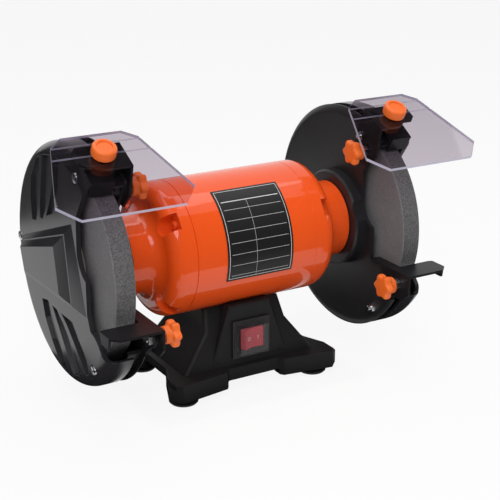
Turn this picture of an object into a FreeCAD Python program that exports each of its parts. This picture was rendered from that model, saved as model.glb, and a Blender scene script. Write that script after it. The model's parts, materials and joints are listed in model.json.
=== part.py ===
import FreeCAD, Part
import math
import os
import Sketcher

# Bench grinder. X runs along the spindle, Y to the back, Z up. The origin lies on the bench
# plane under the middle of the spindle. Lengths are in millimetres and angles in degrees.

SIZES = [
    ("spindle_height", 146, "spindle axis above the bench"),
    ("running_gap", 0.05, "radial clearance of parts that turn or slide"),
    ("seat_gap", 0.05, "radial clearance of seated round parts"),
    ("clamp_gap", 0.1, "axial clearance of clamped faces that move"),
    ("hole_gap", 0.2, "radial clearance of a screw hole"),
    ("cut_past", 1, "a cutting shape past the face that it cuts"),
    ("head_bevel", 1.2, "bevel at a screw head's edge, along the screw"),
    ("head_ease", 1.6, "bevel at a screw head's edge, across the screw"),
    # wheels and spindle
    ("wheel_dia", 200, "wheel diameter"),
    ("wheel_width", 20, "wheel width"),
    ("wheel_bore", 16, "wheel bore"),
    ("wheel_reach", 91, "wheel middle past the shell end"),
    ("wheel_edge", 0.8, "bevel at the wheel's rim"),
    ("blotter_thick", 0.5, "paper ring between wheel and flange"),
    ("blotter_margin", 1, "paper ring past the flange"),
    ("flange_radius", 34, "wheel flange radius"),
    ("flange_relief", 24, "radius of the relief in a flange face"),
    ("relief_deep", 1, "depth of that relief"),
    ("flange_land", 3, "flat round the flange bore"),
    ("flange_slope", 6, "sloping edge of a flange"),
    ("inner_bevel", 1.5, "fall of that slope on the inner flange"),
    ("outer_bevel", 1, "fall of that slope on the outer flange"),
    ("inner_flange", 5, "inner flange thickness"),
    ("outer_flange", 3.5, "outer flange thickness"),
    ("spindle_nut_flats", 24, "spindle nut across flats"),
    ("spindle_nut_thick", 7, "spindle nut thickness"),
    ("spindle_tail", 0.6, "spindle end past the nut"),
    ("spindle_bevel", 1.2, "bevel at the spindle ends"),
    ("journal_dia", 17, "spindle at the bearings"),
    ("core_dia", 22, "spindle in the rotor core"),
    # motor
    ("barrel_radius", 66.6, "motor shell outer radius"),
    ("barrel_half", 66, "half length of the motor shell"),
    ("barrel_wall", 4, "motor shell wall"),
    ("lug_half", 5, "half width of a screw lug in the shell"),
    ("lug_drop", 4, "screw lug inside the bell screw circle"),
    ("lug_tail", 2, "screw lug past the end of the bell screw"),
    ("stator_inset", 31, "stator core inside the shell end"),
    ("stator_bore", 36.5, "stator bore radius"),
    ("slot_count", 18, "stator slots"),
    ("slot_width", 4, "stator slot width"),
    ("slot_depth", 15, "stator slot depth"),
    ("slot_mouth", 2, "stator slot mouth width"),
    ("slot_lip", 3, "stator tooth tip height"),
    ("winding_lift", 3.5, "end turns outside the stator bore"),
    ("winding_gap", 4.5, "end turns inside the bell screw circle"),
    ("winding_reach", 20, "end turn length past the core"),
    ("winding_round", 4, "end turn corner radius"),
    ("air_gap", 0.6, "rotor to stator gap"),
    ("rotor_ring", 6, "rotor end ring length"),
    ("ring_deep", 12, "rotor end ring depth"),
    ("ring_inset", 1, "rotor end ring inside the core surface"),
    ("fan_set", 6, "fan face inside the shell end"),
    ("fan_width", 12, "fan blade width"),
    ("fan_gap", 4, "fan inside the bell screw bosses"),
    ("fan_blades", 8, "fan blades"),
    ("fan_hub", 17, "fan hub radius"),
    ("fan_disc", 2, "fan disc thickness"),
    ("fan_blade", 2, "fan blade thickness"),
    ("fan_bite", 1, "fan blade set into hub and disc"),
    # end bells
    ("bell_straight", 12, "straight part of the bell"),
    ("bell_wall", 4, "bell wall"),
    ("shoulder_bend", 14, "curve radius of the bell's shoulder"),
    ("neck_drop", 27.1, "neck inside the shell radius"),
    ("neck_bevel", 1.5, "bevel at the neck end"),
    ("hub_lead", 6, "bearing hub in front of the bearing"),
    ("seam_bevel", 0.8, "bevel at the shell seam"),
    ("spigot_length", 6, "bell spigot in the shell"),
    ("spigot_wall", 3.5, "bell spigot wall"),
    ("hub_radius", 27, "bearing hub radius"),
    ("bearing_radius", 20, "bearing outer radius"),
    ("bearing_width", 12, "bearing width"),
    ("bearing_race", 3, "bearing ring thickness"),
    ("race_gap", 0.3, "bearing shield to the inner ring"),
    ("race_shield", 0.8, "bearing shield thickness"),
    ("shaft_room", 1, "bell hole outside the bearing's inner ring"),
    ("bearing_set", 20, "bearing inner face past the shell end"),
    ("ball_count", 8, "balls in a bearing"),
    ("tie_inset", 7.1, "bell screw circle inside the shell bore"),
    ("tie_boss", 7.5, "bell screw boss radius"),
    ("tie_shank", 2.5, "bell screw radius"),
    ("tie_head", 4.6, "bell screw head radius"),
    ("tie_head_high", 3.6, "bell screw head height"),
    ("tie_set", 12, "bell screw head seat past the shell end"),
    ("tie_length", 32, "bell screw length under the head"),
    ("tie_room", 1, "screw hole past the end of the bell screw"),
    ("pocket_width", 17, "screw pocket width"),
    ("label_left", 35, "label plate to the left of the middle"),
    ("label_right", 38, "label plate to the right of the middle"),
    ("label_top", 61.5, "label top edge above the front, degrees"),
    ("label_sweep", 81, "label sweep round the shell, degrees"),
    ("label_thick", 0.4, "label plate thickness"),
    ("label_lift", 0.3, "glue under the label plate"),
    # guards
    ("guard_gap", 17.5, "guard rim outside the wheel"),
    ("dish_room", 11, "wheel face to the dish"),
    ("dish_thick", 3.5, "dish plate thickness"),
    ("dish_boss", 50.5, "radius of the dish's raised middle"),
    ("dish_boss_deep", 11.5, "depth of the dish's raised middle"),
    ("dish_boss_bevel", 2, "bevel of the dish's raised middle"),
    ("dish_hole", 20, "dish hole radius round the spindle"),
    ("dish_ring_gap", 10.5, "dish ring outside the wheel"),
    ("dish_ring_wall", 3, "dish ring wall"),
    ("dish_round", 9, "corner radius of the dish edge"),
    ("dish_bend", 14.4, "curve radius of the dish edge"),
    ("dish_edge", 1, "raised edge on the dish"),
    ("dish_edge_wide", 2, "width of that edge"),
    ("cover_room", 6.5, "wheel face to the cover"),
    ("cover_thick", 4.5, "cover plate thickness"),
    ("cover_wall", 3.5, "cover rim wall"),
    ("cover_depth", 28, "cover rim depth"),
    ("cover_round", 14, "cover rim corner radius"),
    ("ring_overlap", 3, "dish ring inside the cover"),
    ("nose_angle", 54, "upper end of the opening above the front, degrees"),
    ("notch_radius", 73.5, "inner end of the upper cut"),
    ("waist_y", 42, "opening edge at the upper middle"),
    ("waist_z", 28, "height of that edge"),
    ("belly_y", 60, "opening edge at the lower middle"),
    ("belly_high", 3, "upper end of that edge"),
    ("belly_low", 29, "lower end of that edge"),
    ("belly_bend", 26, "curve of the opening between its two edges"),
    ("belly_cut_y", 6, "slant at the lower edge, forward"),
    ("belly_cut_z", 14, "slant at the lower edge, down"),
    ("chin_angle", 32.7, "lower end of the opening below the front, degrees"),
    ("chin_shelf", 7, "flat behind that end"),
    ("chin_bend", 34, "curve of the opening at its lower end"),
    ("step_one", 3, "lower ramp on the cover"),
    ("step_two", 3.5, "upper ramp on the cover"),
    ("groove_deep", 3, "depth of the cover grooves"),
    ("groove_edge", 12, "cover grooves inside the guard rim"),
    ("nut_recess", 18, "cover recess radius over the spindle nut"),
    ("nut_room", 1, "cover recess past the spindle end"),
    ("rim_screw", 2.5, "cover screw radius"),
    ("rim_screw_gap", 5.8, "cover screw axis outside the wheel"),
    ("rim_head", 5, "cover screw head radius"),
    ("rim_head_high", 3, "cover screw head height"),
    ("rim_sink", 2, "cover screw seat sunk in the cover"),
    ("rim_seat", 5.7, "radius of that seat"),
    ("rim_post", 4.2, "cover screw post radius"),
    ("rim_nut_flats", 8.5, "cover screw nut across flats"),
    ("rim_nut_thick", 4, "cover screw nut thickness"),
    ("rim_tail", 3, "cover screw end past its nut"),
    ("rim_top", 65.3, "upper cover screw above the front, degrees"),
    ("rim_low", 50, "lower cover screw below the front, degrees"),
    ("dish_screw", 3, "dish screw radius"),
    ("dish_screw_inset", 9.5, "dish screw circle inside the neck"),
    ("dish_screw_head", 5, "dish screw head radius"),
    ("dish_screw_high", 4, "dish screw head height"),
    ("dish_screw_grip", 12, "dish screw depth in the neck"),
    ("arrestor_thick", 2, "spark plate thickness"),
    ("arrestor_gap", 2.5, "spark plate to wheel"),
    ("arrestor_sweep", 13, "spark plate flange sweep, degrees"),
    ("arrestor_screw", 2, "spark plate screw radius"),
    ("arrestor_head", 2.2, "spark plate screw head height"),
    ("arrestor_tail", 1.5, "spark plate screw end inside the rim"),
    ("arrestor_shift", 5, "spark plate screws past the wheel middle"),
    ("arrestor_side", 0.5, "spark plate inside the cover's rim"),
    ("arrestor_spread", 7, "spark plate screw offset from the middle"),
    ("arrestor_inset", 9, "spark plate screws back from the cut, degrees"),
    # eye shields
    ("shield_tilt", 27.5, "shield slope, degrees"),
    ("shield_lift", 16.1, "shield top above the guard rim"),
    ("shield_thick", 3, "shield thickness"),
    ("shield_knob_s", 28.5, "knob from the rear edge"),
    ("shield_rear", 29.2, "half width at the rear edge"),
    ("shield_shoulder", 42, "half width at the rear corners"),
    ("shield_shoulder_s", 10, "rear corners from the rear edge"),
    ("shield_wide", 65.3, "half width at the front corners"),
    ("shield_wide_s", 83, "front corners from the rear edge"),
    ("shield_front", 48.9, "half width at the front edge"),
    ("shield_length", 102, "front edge from the rear edge"),
    ("shield_line_one", 12.5, "first pressed line from the rear edge"),
    ("shield_line_two", 27.3, "second pressed line"),
    ("shield_line_wide", 1.2, "width of a pressed line"),
    ("shield_line_deep", 0.6, "depth of a pressed line"),
    ("bracket_thick", 2.5, "bracket sheet thickness"),
    ("bracket_outer", 24, "bracket tab past the wheel middle"),
    ("bracket_start", 11.5, "bracket tab start from the rear edge"),
    ("bracket_end", 43.5, "bracket tab end at the motor side"),
    ("bracket_tip", 37, "bracket tab end at the outer side"),
    ("tab_step", 26, "straight motor-side edge of the bracket tab"),
    ("tab_slope", 33, "end of the slanting edge of the bracket tab"),
    ("tab_corner", 5, "front corner bevel of the bracket tab"),
    ("tab_bevel", 4, "rear corner bevel of the bracket tab"),
    ("slot_margin", 17, "arc slot past the stud's travel, degrees"),
    ("clamp_reach", 15.2, "clamp stud from the pivot"),
    ("clamp_lean", 23.2, "clamp stud in front of straight down, degrees"),
    ("tilt_up", 30, "shield swing up, degrees"),
    ("tilt_down", 10, "shield swing down, degrees"),
    ("bolt_radius", 3, "shield bolt radius"),
    ("bolt_head", 6.5, "shield bolt head radius"),
    ("bolt_head_high", 2.5, "shield bolt head height"),
    ("bolt_short", 2.5, "bolt end under the round knob's dish"),
    ("bolt_room", 0.4, "knob bore past the bolt end"),
    ("thumb_radius", 11.5, "round knob radius"),
    ("thumb_high", 10.5, "round knob height"),
    ("thumb_dish", 8.6, "round knob dish radius"),
    ("thumb_dish_deep", 1.4, "round knob dish depth"),
    ("thumb_round", 1.6, "round knob upper edge radius"),
    ("thumb_bevel", 1, "round knob lower edge bevel"),
    # star knobs
    ("stud_radius", 4, "knob stud radius"),
    ("stud_bevel", 0.8, "bevel at the stud end"),
    ("collar_radius", 5.6, "stud collar radius"),
    ("collar_long", 6, "stud collar length"),
    ("hub_long", 6, "knob hub length"),
    ("knob_hub", 8.5, "knob hub radius"),
    ("knob_core", 10.2, "knob disc radius"),
    ("knob_thick", 8.5, "knob disc thickness"),
    ("knob_cap", 4, "knob left in front of the stud bore"),
    ("stud_room", 0.5, "stud bore past the stud"),
    ("lobe_inset", 0.6, "lobes inside the disc faces"),
    ("lobe_radius", 4, "knob lobe radius"),
    ("lobe_circle", 9.2, "knob lobe circle radius"),
    ("lobe_count", 6, "knob lobes"),
    ("knob_nut_flats", 12, "stud nut across flats"),
    ("knob_nut_thick", 4.5, "stud nut thickness"),
    ("stud_tail", 0.8, "stud end past its nut"),
    # tool rests
    ("rest_drop", 28.5, "rest top below the spindle"),
    ("rest_thick", 2.5, "rest sheet thickness"),
    ("rest_gap", 3.6, "rest edge to the wheel"),
    ("rest_deep", 29, "rest depth in front of the wheel"),
    ("rest_outer", 27, "rest past the wheel middle"),
    ("rest_leg", 11.5, "width of the leg beside the wheel"),
    ("rest_leg_back", 36, "leg behind the rest edge"),
    ("rest_flange_back", 16, "flange behind the rest edge"),
    ("rest_flange_high", 27.5, "rest flange height"),
    ("rest_flap_high", 11.5, "rest end flap height"),
    ("rest_chamfer", 8, "rest outer corner chamfer"),
    ("rest_ease", 2, "rest inner corner bevel, forward"),
    ("rest_ease_wide", 4, "rest inner corner bevel, sideways"),
    ("rest_flange_slope", 10, "rear corner bevel of the rest flange"),
    ("rest_stud_drop", 12.5, "rest stud below the rest top"),
    ("rest_stud_back", 18, "rest stud behind the front edge"),
    ("rest_travel", 12, "rest slide travel"),
    ("lug_radius", 9.3, "rest lug radius"),
    ("lug_root", 12, "rest lug behind the opening edge"),
    ("lug_fall", 1, "fall of the rest lug towards its root"),
    ("lug_toe_y", 4, "rest lug past the lower end of the opening"),
    ("lug_toe_z", 6, "rest lug below the lower end of the opening"),
    # base
    ("foot_high", 9, "rubber foot height"),
    ("foot_radius", 15.5, "rubber foot radius"),
    ("foot_neck", 6, "rubber foot neck radius"),
    ("foot_neck_high", 8, "rubber foot neck height"),
    ("foot_ease", 2.5, "bevel under the rubber foot, across"),
    ("foot_bevel", 1.5, "bevel under the rubber foot, up"),
    ("foot_taper", 1, "taper of the rubber foot"),
    ("foot_x", 75, "foot from the middle, sideways"),
    ("foot_y", 47, "foot from the middle, front and back"),
    ("bolt_hole", 3.3, "bench bolt hole radius"),
    ("bolt_deep", 14, "bench bolt hole depth in the base"),
    ("plinth_x", 96, "base half width at the feet"),
    ("plinth_y", 61, "base half depth at the foot blocks' inner ends"),
    ("plinth_high", 18, "base edge height"),
    ("plinth_chamfer", 10, "base corner chamfer"),
    ("block_flare", 8, "foot block deeper at its outer end"),
    ("block_slope", 5, "slant from the front bar to the foot block"),
    ("block_side", 2, "straight side of the foot block"),
    ("plinth_step", 5, "step at the base ends"),
    ("plinth_step_high", 4.5, "height of that step"),
    ("bar_half", 28, "front bar half width"),
    ("bar_y", 55, "front bar half depth"),
    ("bar_lift", 5.5, "front bar above the foot face"),
    ("waist_half", 81, "base half width at the waist"),
    ("waist_reach", 20, "base waist half depth"),
    ("waist_lift", 9, "side arch height"),
    ("arch_margin", 4, "side arch past the waist"),
    ("arch_side", 2, "front arch past the bar"),
    ("tower_top", 50, "tower top below the spindle"),
    ("tower_top_x", 41.5, "tower half width at the top"),
    ("tower_top_y", 27, "tower half depth at the top"),
    ("tower_bend", 83, "tower bend below the spindle"),
    ("tower_bend_x", 47, "tower half width at the bend"),
    ("tower_bend_y", 40, "tower half depth at the bend"),
    ("skirt_x", 76, "skirt half width at the foot"),
    ("skirt_y", 49, "skirt half depth at the foot"),
    ("tower_round", 5, "tower corner radius"),
    ("tower_sink", 2, "tower foot inside the base edge"),
    ("cavity_drop", 6, "bend of the cavity below the tower bend"),
    ("roof_in_x", 3, "cavity roof inside the wall, sideways"),
    ("roof_in_y", 6, "cavity roof inside the wall, front and back"),
    ("base_wall", 5, "base wall"),
    ("saddle_gap", 0.2, "shell to saddle"),
    ("roof_thick", 9, "base roof under the shell"),
    ("panel_y", 48, "switch panel from the middle"),
    ("panel_root", 12, "switch panel's rear face from the middle"),
    ("panel_top", 56, "switch panel top below the spindle"),
    ("panel_top_half", 23, "switch panel half width at the top"),
    ("panel_foot_half", 43, "switch panel half width at the foot"),
    ("panel_foot", 3, "switch panel foot above the base edge"),
    ("panel_bevel", 1.6, "switch panel edge bevel"),
    ("rear_pad_half", 17, "cord pad half width"),
    ("rear_pad_y", 53, "cord pad from the middle"),
    ("rear_pad_root", 20, "cord pad's inner face from the middle"),
    ("rear_pad_rise", 15, "cord pad above the cord inlet"),
    ("gland_lift", 15, "cord inlet above the base edge"),
    ("gland_bore", 4, "cord inlet radius"),
    ("gland_body", 7, "cord gland body radius"),
    ("gland_flange", 10.5, "cord gland flange radius"),
    ("gland_lip", 4, "cord gland flange thickness"),
    ("gland_long", 16, "cord gland depth in the base"),
    ("plate_thick", 1.5, "bottom plate thickness"),
    ("plate_x", 62, "bottom plate half width"),
    ("plate_y", 46, "bottom plate half depth"),
    ("plate_gap", 0.3, "bottom plate clearance"),
    ("plate_rim", 6, "ledge round the bottom opening"),
    ("plate_screw", 2, "bottom plate screw radius"),
    ("plate_screw_long", 10, "bottom plate screw length"),
    ("plate_boss", 5, "bottom plate boss radius"),
    ("plate_round", 3, "bottom plate corner radius"),
    ("plate_head", 2, "bottom plate screw head height"),
    ("plate_head_bevel", 1, "bevel of that head"),
    ("boss_bite", 1, "bottom plate boss into the wall"),
    ("boss_short", 20, "bottom plate boss end below the tower bend"),
    ("mount_screw", 3, "shell screw radius"),
    ("mount_screw_x", 28, "shell screws from the middle"),
    ("mount_head", 5, "shell screw head radius"),
    ("mount_head_high", 4, "shell screw head height"),
    ("mount_skin", 0.5, "shell wall left over the shell screw"),
    # switch and capacitor
    ("switch_lift", 27, "switch middle above the base edge"),
    ("bezel_x", 21, "switch bezel half width"),
    ("bezel_z", 20, "switch bezel half height"),
    ("bezel_thick", 2.5, "switch bezel thickness"),
    ("switch_x", 15.5, "switch body half width"),
    ("switch_z", 14, "switch body half height"),
    ("switch_deep", 24, "switch body depth"),
    ("rocker_x", 12.2, "rocker half width"),
    ("rocker_z", 10.4, "rocker half height"),
    ("rocker_gap", 0.5, "rocker to its opening"),
    ("rocker_proud", 4, "rocker ends in front of the bezel"),
    ("rocker_bevel", 1, "rocker front corner bevel"),
    ("rocker_dip", 2.6, "hollow in the middle of the rocker"),
    ("rocker_side", 3, "rocker side end in front of the pin"),
    ("rocker_heel", 2.5, "rocker heel behind the pin"),
    ("rocker_heel_half", 6, "rocker heel half width"),
    ("well_deep", 8, "rocker's well behind the pin"),
    ("rocker_deep", 6, "rocker pin behind the bezel face"),
    ("rocker_swing", 8, "rocker swing each way, degrees"),
    ("rocker_pin", 1.5, "rocker pin radius"),
    ("rocker_pin_long", 1.4, "rocker pin length past its side"),
    ("hood_wall", 1.2, "clear hood wall"),
    ("hood_x", 16.5, "clear hood half width"),
    ("hood_z", 15.5, "clear hood half height"),
    ("hood_deep", 8, "clear hood depth"),
    ("cap_radius", 16, "capacitor radius"),
    ("cap_half", 28, "capacitor half length"),
    ("cap_y", 12, "capacitor behind the middle"),
    ("cap_lift", 2.5, "capacitor above the bottom plate"),
    ("cradle_half", 9, "cradle half length"),
    ("cradle_high", 17, "cradle height"),
    ("cradle_wall", 2, "cradle past the capacitor"),
]


class Size:
    """A number together with the spreadsheet expression that gives it."""

    def __init__(self, value, text):
        self.value = float(value)
        self.text = text

    def __add__(self, other):
        other = as_size(other)
        return Size(self.value + other.value, "(%s + %s)" % (self.text, other.text))

    def __radd__(self, other):
        return as_size(other) + self

    def __sub__(self, other):
        other = as_size(other)
        return Size(self.value - other.value, "(%s - %s)" % (self.text, other.text))

    def __rsub__(self, other):
        return as_size(other) - self

    def __mul__(self, other):
        other = as_size(other)
        return Size(self.value * other.value, "(%s * %s)" % (self.text, other.text))

    def __rmul__(self, other):
        return as_size(other) * self

    def __truediv__(self, other):
        other = as_size(other)
        return Size(self.value / other.value, "(%s / %s)" % (self.text, other.text))

    def __neg__(self):
        return Size(-self.value, "(0 - %s)" % self.text)


def as_size(number):
    """Turns a plain number into a Size and leaves a Size alone."""
    if isinstance(number, Size):
        return number
    return Size(number, "(%.9g)" % number)


def sine(angle):
    angle = as_size(angle)
    return Size(math.sin(math.radians(angle.value)), "sin(%s)" % angle.text)


def cosine(angle):
    angle = as_size(angle)
    return Size(math.cos(math.radians(angle.value)), "cos(%s)" % angle.text)


def root(size):
    return Size(math.sqrt(size.value), "sqrt(%s)" % size.text)


class Named:
    """Holds each size of the table under its own name."""


doc = FreeCAD.newDocument("BenchGrinder")
sheet = doc.addObject("Spreadsheet::Sheet", "Sizes")
d = Named()
for row, (alias, number, meaning) in enumerate(SIZES, start=1):
    sheet.set("A%d" % row, meaning)
    sheet.set("B%d" % row, "%.9g" % number)
    sheet.setAlias("B%d" % row, alias)
    setattr(d, alias, Size(number, "Sizes.%s" % alias))
doc.recompute()

nodes = []


def keep(name, thing):
    """Names a finished piece, which is then written under that name."""
    thing.Label = name
    nodes.append(thing)
    return thing


def bind(thing, path, size):
    thing.setExpression(path, as_size(size).text)


def place(thing, x=0, y=0, z=0, axis=None, angle=0):
    """Puts a piece at a point, turned about an axis, with every number bound."""
    spot = [as_size(value) for value in (x, y, z)]
    angle = as_size(angle)
    turn = FreeCAD.Rotation(FreeCAD.Vector(*(axis or (0, 0, 1))), angle.value)
    thing.Placement = FreeCAD.Placement(FreeCAD.Vector(*[value.value for value in spot]), turn)
    for letter, value in zip("xyz", spot):
        bind(thing, "Placement.Base." + letter, value)
    if axis:
        thing.setExpression("Placement.Rotation.Angle", "%s * 1 deg" % angle.text)
    return thing


def at_spindle(thing, y=0, z=0, x=0):
    """Puts a piece that was drawn about the origin onto the spindle's level."""
    return place(thing, x, y, d.spindle_height + z)


def new_body(name):
    return doc.addObject("PartDesign::Body", name)


def new_sketch(body, role, offset=0):
    """Adds a sketch to one of the body's own planes, moved along the plane's normal."""
    plane = [item for item in body.Origin.OriginFeatures if item.Role == role][0]
    sketch = body.newObject("Sketcher::SketchObject", body.Name + "_sketch")
    sketch.AttachmentSupport = [(plane, "")]
    sketch.MapMode = "FlatFace"
    offset = as_size(offset)
    sketch.AttachmentOffset = FreeCAD.Placement(FreeCAD.Vector(0, 0, offset.value), FreeCAD.Rotation())
    bind(sketch, "AttachmentOffset.Base.z", offset)
    return sketch


def arc_between(start, end, bend):
    """An arc shorter than half a turn; a positive bend runs anticlockwise."""
    chord = end - start
    middle = (start + end) * 0.5
    rise = math.sqrt(max(bend * bend - chord.Length * chord.Length / 4, 0))
    side = FreeCAD.Vector(-chord.y, chord.x, 0).normalize()
    centre = middle + side * (rise if bend > 0 else -rise)
    first, last = (start, end) if bend > 0 else (end, start)
    from_angle = math.atan2(first.y - centre.y, first.x - centre.x)
    to_angle = math.atan2(last.y - centre.y, last.x - centre.x)
    if to_angle <= from_angle:
        to_angle += 2 * math.pi
    return Part.ArcOfCircle(Part.Circle(centre, FreeCAD.Vector(0, 0, 1), abs(bend)), from_angle, to_angle)


def outline(sketch, corners):
    """Closes a shape through corners (u, v) or (u, v, bend); a bend curves the side that follows."""
    base = len(sketch.Geometry)
    count = len(corners)
    rows = []
    for corner in corners:
        bend = as_size(corner[2]) if len(corner) > 2 else None
        rows.append((as_size(corner[0]), as_size(corner[1]), bend))
    ends = []
    for index, (u, v, bend) in enumerate(rows):
        after = rows[(index + 1) % count]
        start = FreeCAD.Vector(u.value, v.value, 0)
        end = FreeCAD.Vector(after[0].value, after[1].value, 0)
        if bend is None:
            sketch.addGeometry(Part.LineSegment(start, end), False)
        else:
            sketch.addGeometry(arc_between(start, end, bend.value), False)
        ends.append((2, 1) if bend is not None and bend.value < 0 else (1, 2))
    for index, (u, v, bend) in enumerate(rows):
        following = (index + 1) % count
        sketch.addConstraint(Sketcher.Constraint(
            "Coincident", base + index, ends[index][1], base + following, ends[following][0]))
    for index, (u, v, bend) in enumerate(rows):
        spot = (base + index, ends[index][0])
        held = sketch.addConstraint(Sketcher.Constraint("DistanceX", spot[0], spot[1], u.value))
        bind(sketch, "Constraints[%d]" % held, u)
        held = sketch.addConstraint(Sketcher.Constraint("DistanceY", spot[0], spot[1], v.value))
        bind(sketch, "Constraints[%d]" % held, v)
        if bend is not None:
            size = bend if bend.value > 0 else -bend
            held = sketch.addConstraint(Sketcher.Constraint("Radius", base + index, size.value))
            bind(sketch, "Constraints[%d]" % held, size)


def ring_line(sketch, u, v, radius):
    """Adds a full circle to a sketch."""
    u, v, radius = as_size(u), as_size(v), as_size(radius)
    index = len(sketch.Geometry)
    centre = FreeCAD.Vector(u.value, v.value, 0)
    sketch.addGeometry(Part.Circle(centre, FreeCAD.Vector(0, 0, 1), radius.value), False)
    held = sketch.addConstraint(Sketcher.Constraint("DistanceX", index, 3, u.value))
    bind(sketch, "Constraints[%d]" % held, u)
    held = sketch.addConstraint(Sketcher.Constraint("DistanceY", index, 3, v.value))
    bind(sketch, "Constraints[%d]" % held, v)
    held = sketch.addConstraint(Sketcher.Constraint("Radius", index, radius.value))
    bind(sketch, "Constraints[%d]" % held, radius)


PLANES = {"x": "YZ_Plane", "y": "XZ_Plane", "z": "XY_Plane"}


def pad_on(body, axis, start, length, corners=(), circles=()):
    """Pads an outline from one level along an axis towards its positive end."""
    start = as_size(start)
    sketch = new_sketch(body, PLANES[axis], -start if axis == "y" else start)
    if corners:
        outline(sketch, corners)
    for circle in circles:
        ring_line(sketch, *circle)
    pad = body.newObject("PartDesign::Pad", body.Name + "_pad")
    pad.Profile = sketch
    pad.Reversed = axis == "y"
    bind(pad, "Length", length)
    return pad


def prism(name, axis, corners, start, length, circles=()):
    body = new_body(name)
    pad_on(body, axis, start, length, corners, circles)
    return body


def spin(name, corners, sweep=360, upright=False):
    """Turns a profile (along, radius) about X, or (radius, height) about Z when upright."""
    body = new_body(name)
    sketch = new_sketch(body, "XZ_Plane" if upright else "XY_Plane")
    outline(sketch, corners)
    turned = body.newObject("PartDesign::Revolution", name + "_turn")
    turned.Profile = sketch
    turned.ReferenceAxis = (sketch, ["V_Axis" if upright else "H_Axis"])
    bind(turned, "Angle", sweep)
    return body


def rod(name, axis, radius, length, x=0, y=0, z=0):
    """A plain cylinder that runs from a point towards the positive end of an axis."""
    thing = doc.addObject("Part::Cylinder", name)
    bind(thing, "Radius", radius)
    bind(thing, "Height", length)
    turns = {"x": ((0, 1, 0), 90), "y": ((1, 0, 0), -90), "z": (None, 0)}
    return place(thing, x, y, z, *turns[axis])


def block(name, x0, x1, y0, y1, z0, z1):
    thing = doc.addObject("Part::Box", name)
    bind(thing, "Length", as_size(x1) - x0)
    bind(thing, "Width", as_size(y1) - y0)
    bind(thing, "Height", as_size(z1) - z0)
    return place(thing, x0, y0, z0)


def fuse(name, pieces):
    thing = doc.addObject("Part::MultiFuse", name)
    thing.Shapes = pieces
    thing.Refine = True
    return thing


def cut(name, base, tools):
    thing = doc.addObject("Part::Cut", name)
    thing.Base = base
    thing.Tool = tools[0] if len(tools) == 1 else fuse(name + "_tools", tools)
    thing.Refine = True
    return thing


def group(name, pieces):
    thing = doc.addObject("Part::Compound", name)
    thing.Links = pieces
    return thing


def mirror(name, source):
    """The same piece on the other side of the machine."""
    thing = doc.addObject("Part::Mirroring", name)
    thing.Source = source
    thing.Base = FreeCAD.Vector(0, 0, 0)
    thing.Normal = FreeCAD.Vector(1, 0, 0)
    return thing


def both(name, source):
    """Keeps a right-hand piece and its left-hand twin as two pieces."""
    keep("right_" + name, source)
    keep("left_" + name, mirror("left_" + name, source))


def pair(name, pieces):
    """Keeps equal pieces of both sides together under one name."""
    twins = [mirror("%s_twin_%d" % (name, index), piece) for index, piece in enumerate(pieces)]
    keep(name, group(name, pieces + twins))


def hexagon(y, z, flats):
    """Corners of a hexagon about a point, with a corner at the top."""
    reach = as_size(flats) / math.sqrt(3)
    spots = []
    for step in range(6):
        angle = math.radians(30 + 60 * step)
        spots.append((as_size(y) + reach * math.cos(angle), as_size(z) + reach * math.sin(angle)))
    return spots


def polar(radius, angle):
    """A point (y, z) about the spindle, at an angle above the front."""
    return -(as_size(radius) * cosine(angle)), as_size(radius) * sine(angle)


def rounded(half_u, half_v, radius):
    """Corners of a rectangle with round corners."""
    u, v, r = as_size(half_u), as_size(half_v), as_size(radius)
    return [(r - u, -v), (u - r, -v, r), (u, r - v), (u, v - r, r),
            (u - r, v), (r - u, v, r), (-u, v - r), (-u, r - v, r)]


def loft(name, levels):
    """A solid through rectangles with round corners: (height, half width, half depth, radius)."""
    body = new_body(name)
    sketches = []
    for height, half_u, half_v, radius in levels:
        sketch = new_sketch(body, "XY_Plane", height)
        outline(sketch, rounded(half_u, half_v, radius))
        sketches.append(sketch)
    shape = body.newObject("PartDesign::AdditiveLoft", name + "_loft")
    shape.Profile = sketches[0]
    shape.Sections = sketches[1:]
    shape.Ruled = True
    return body


# Places that several pieces share, measured from the spindle axis.
wheel_rad = d.wheel_dia / 2
wheel_centre = d.barrel_half + d.wheel_reach
wheel_in = wheel_centre - d.wheel_width / 2
wheel_out = wheel_centre + d.wheel_width / 2
guard_rad = wheel_rad + d.guard_gap
flange_in = wheel_in - d.blotter_thick - d.inner_flange
flange_out = wheel_out + d.blotter_thick + d.outer_flange
nut_out = flange_out + d.spindle_nut_thick
spindle_end = nut_out + d.spindle_tail
cover_in = wheel_out + d.cover_room
cover_face = cover_in + d.cover_thick
cover_lip = cover_face - d.cover_depth
dish_in = wheel_in - d.dish_room
dish_out = dish_in + d.dish_thick
neck_end = dish_in - d.dish_boss_deep
sheet_face = dish_in - d.clamp_gap
collar_face = sheet_face - d.bracket_thick - d.clamp_gap
rest_collar_face = sheet_face - d.rest_thick - d.clamp_gap
rim_circle = wheel_rad + d.rim_screw_gap
pivot_y, pivot_z = polar(rim_circle, d.rim_top)
clamp_y = pivot_y - d.clamp_reach * sine(d.clamp_lean)
clamp_z = pivot_z - d.clamp_reach * cosine(d.clamp_lean)
rest_near = -(root(wheel_rad * wheel_rad - d.rest_drop * d.rest_drop)) - d.rest_gap
rest_front = rest_near - d.rest_deep
rest_stud_y = rest_front + d.rest_stud_back
rest_stud_z = -d.rest_drop - d.rest_stud_drop
bore_rad = d.wheel_bore / 2
journal_rad = d.journal_dia / 2
core_rad = d.core_dia / 2
shell_in = d.barrel_radius - d.barrel_wall
bearing_start = d.barrel_half + d.bearing_set
fan_start = d.barrel_half - d.fan_set
tie_radius = shell_in - d.tie_inset
tie_seat = d.barrel_half + d.tie_set
fan_radius = tie_radius - d.tie_boss - d.fan_gap
stator_half = d.barrel_half - d.stator_inset
winding_inner = d.stator_bore + d.winding_lift
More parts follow.
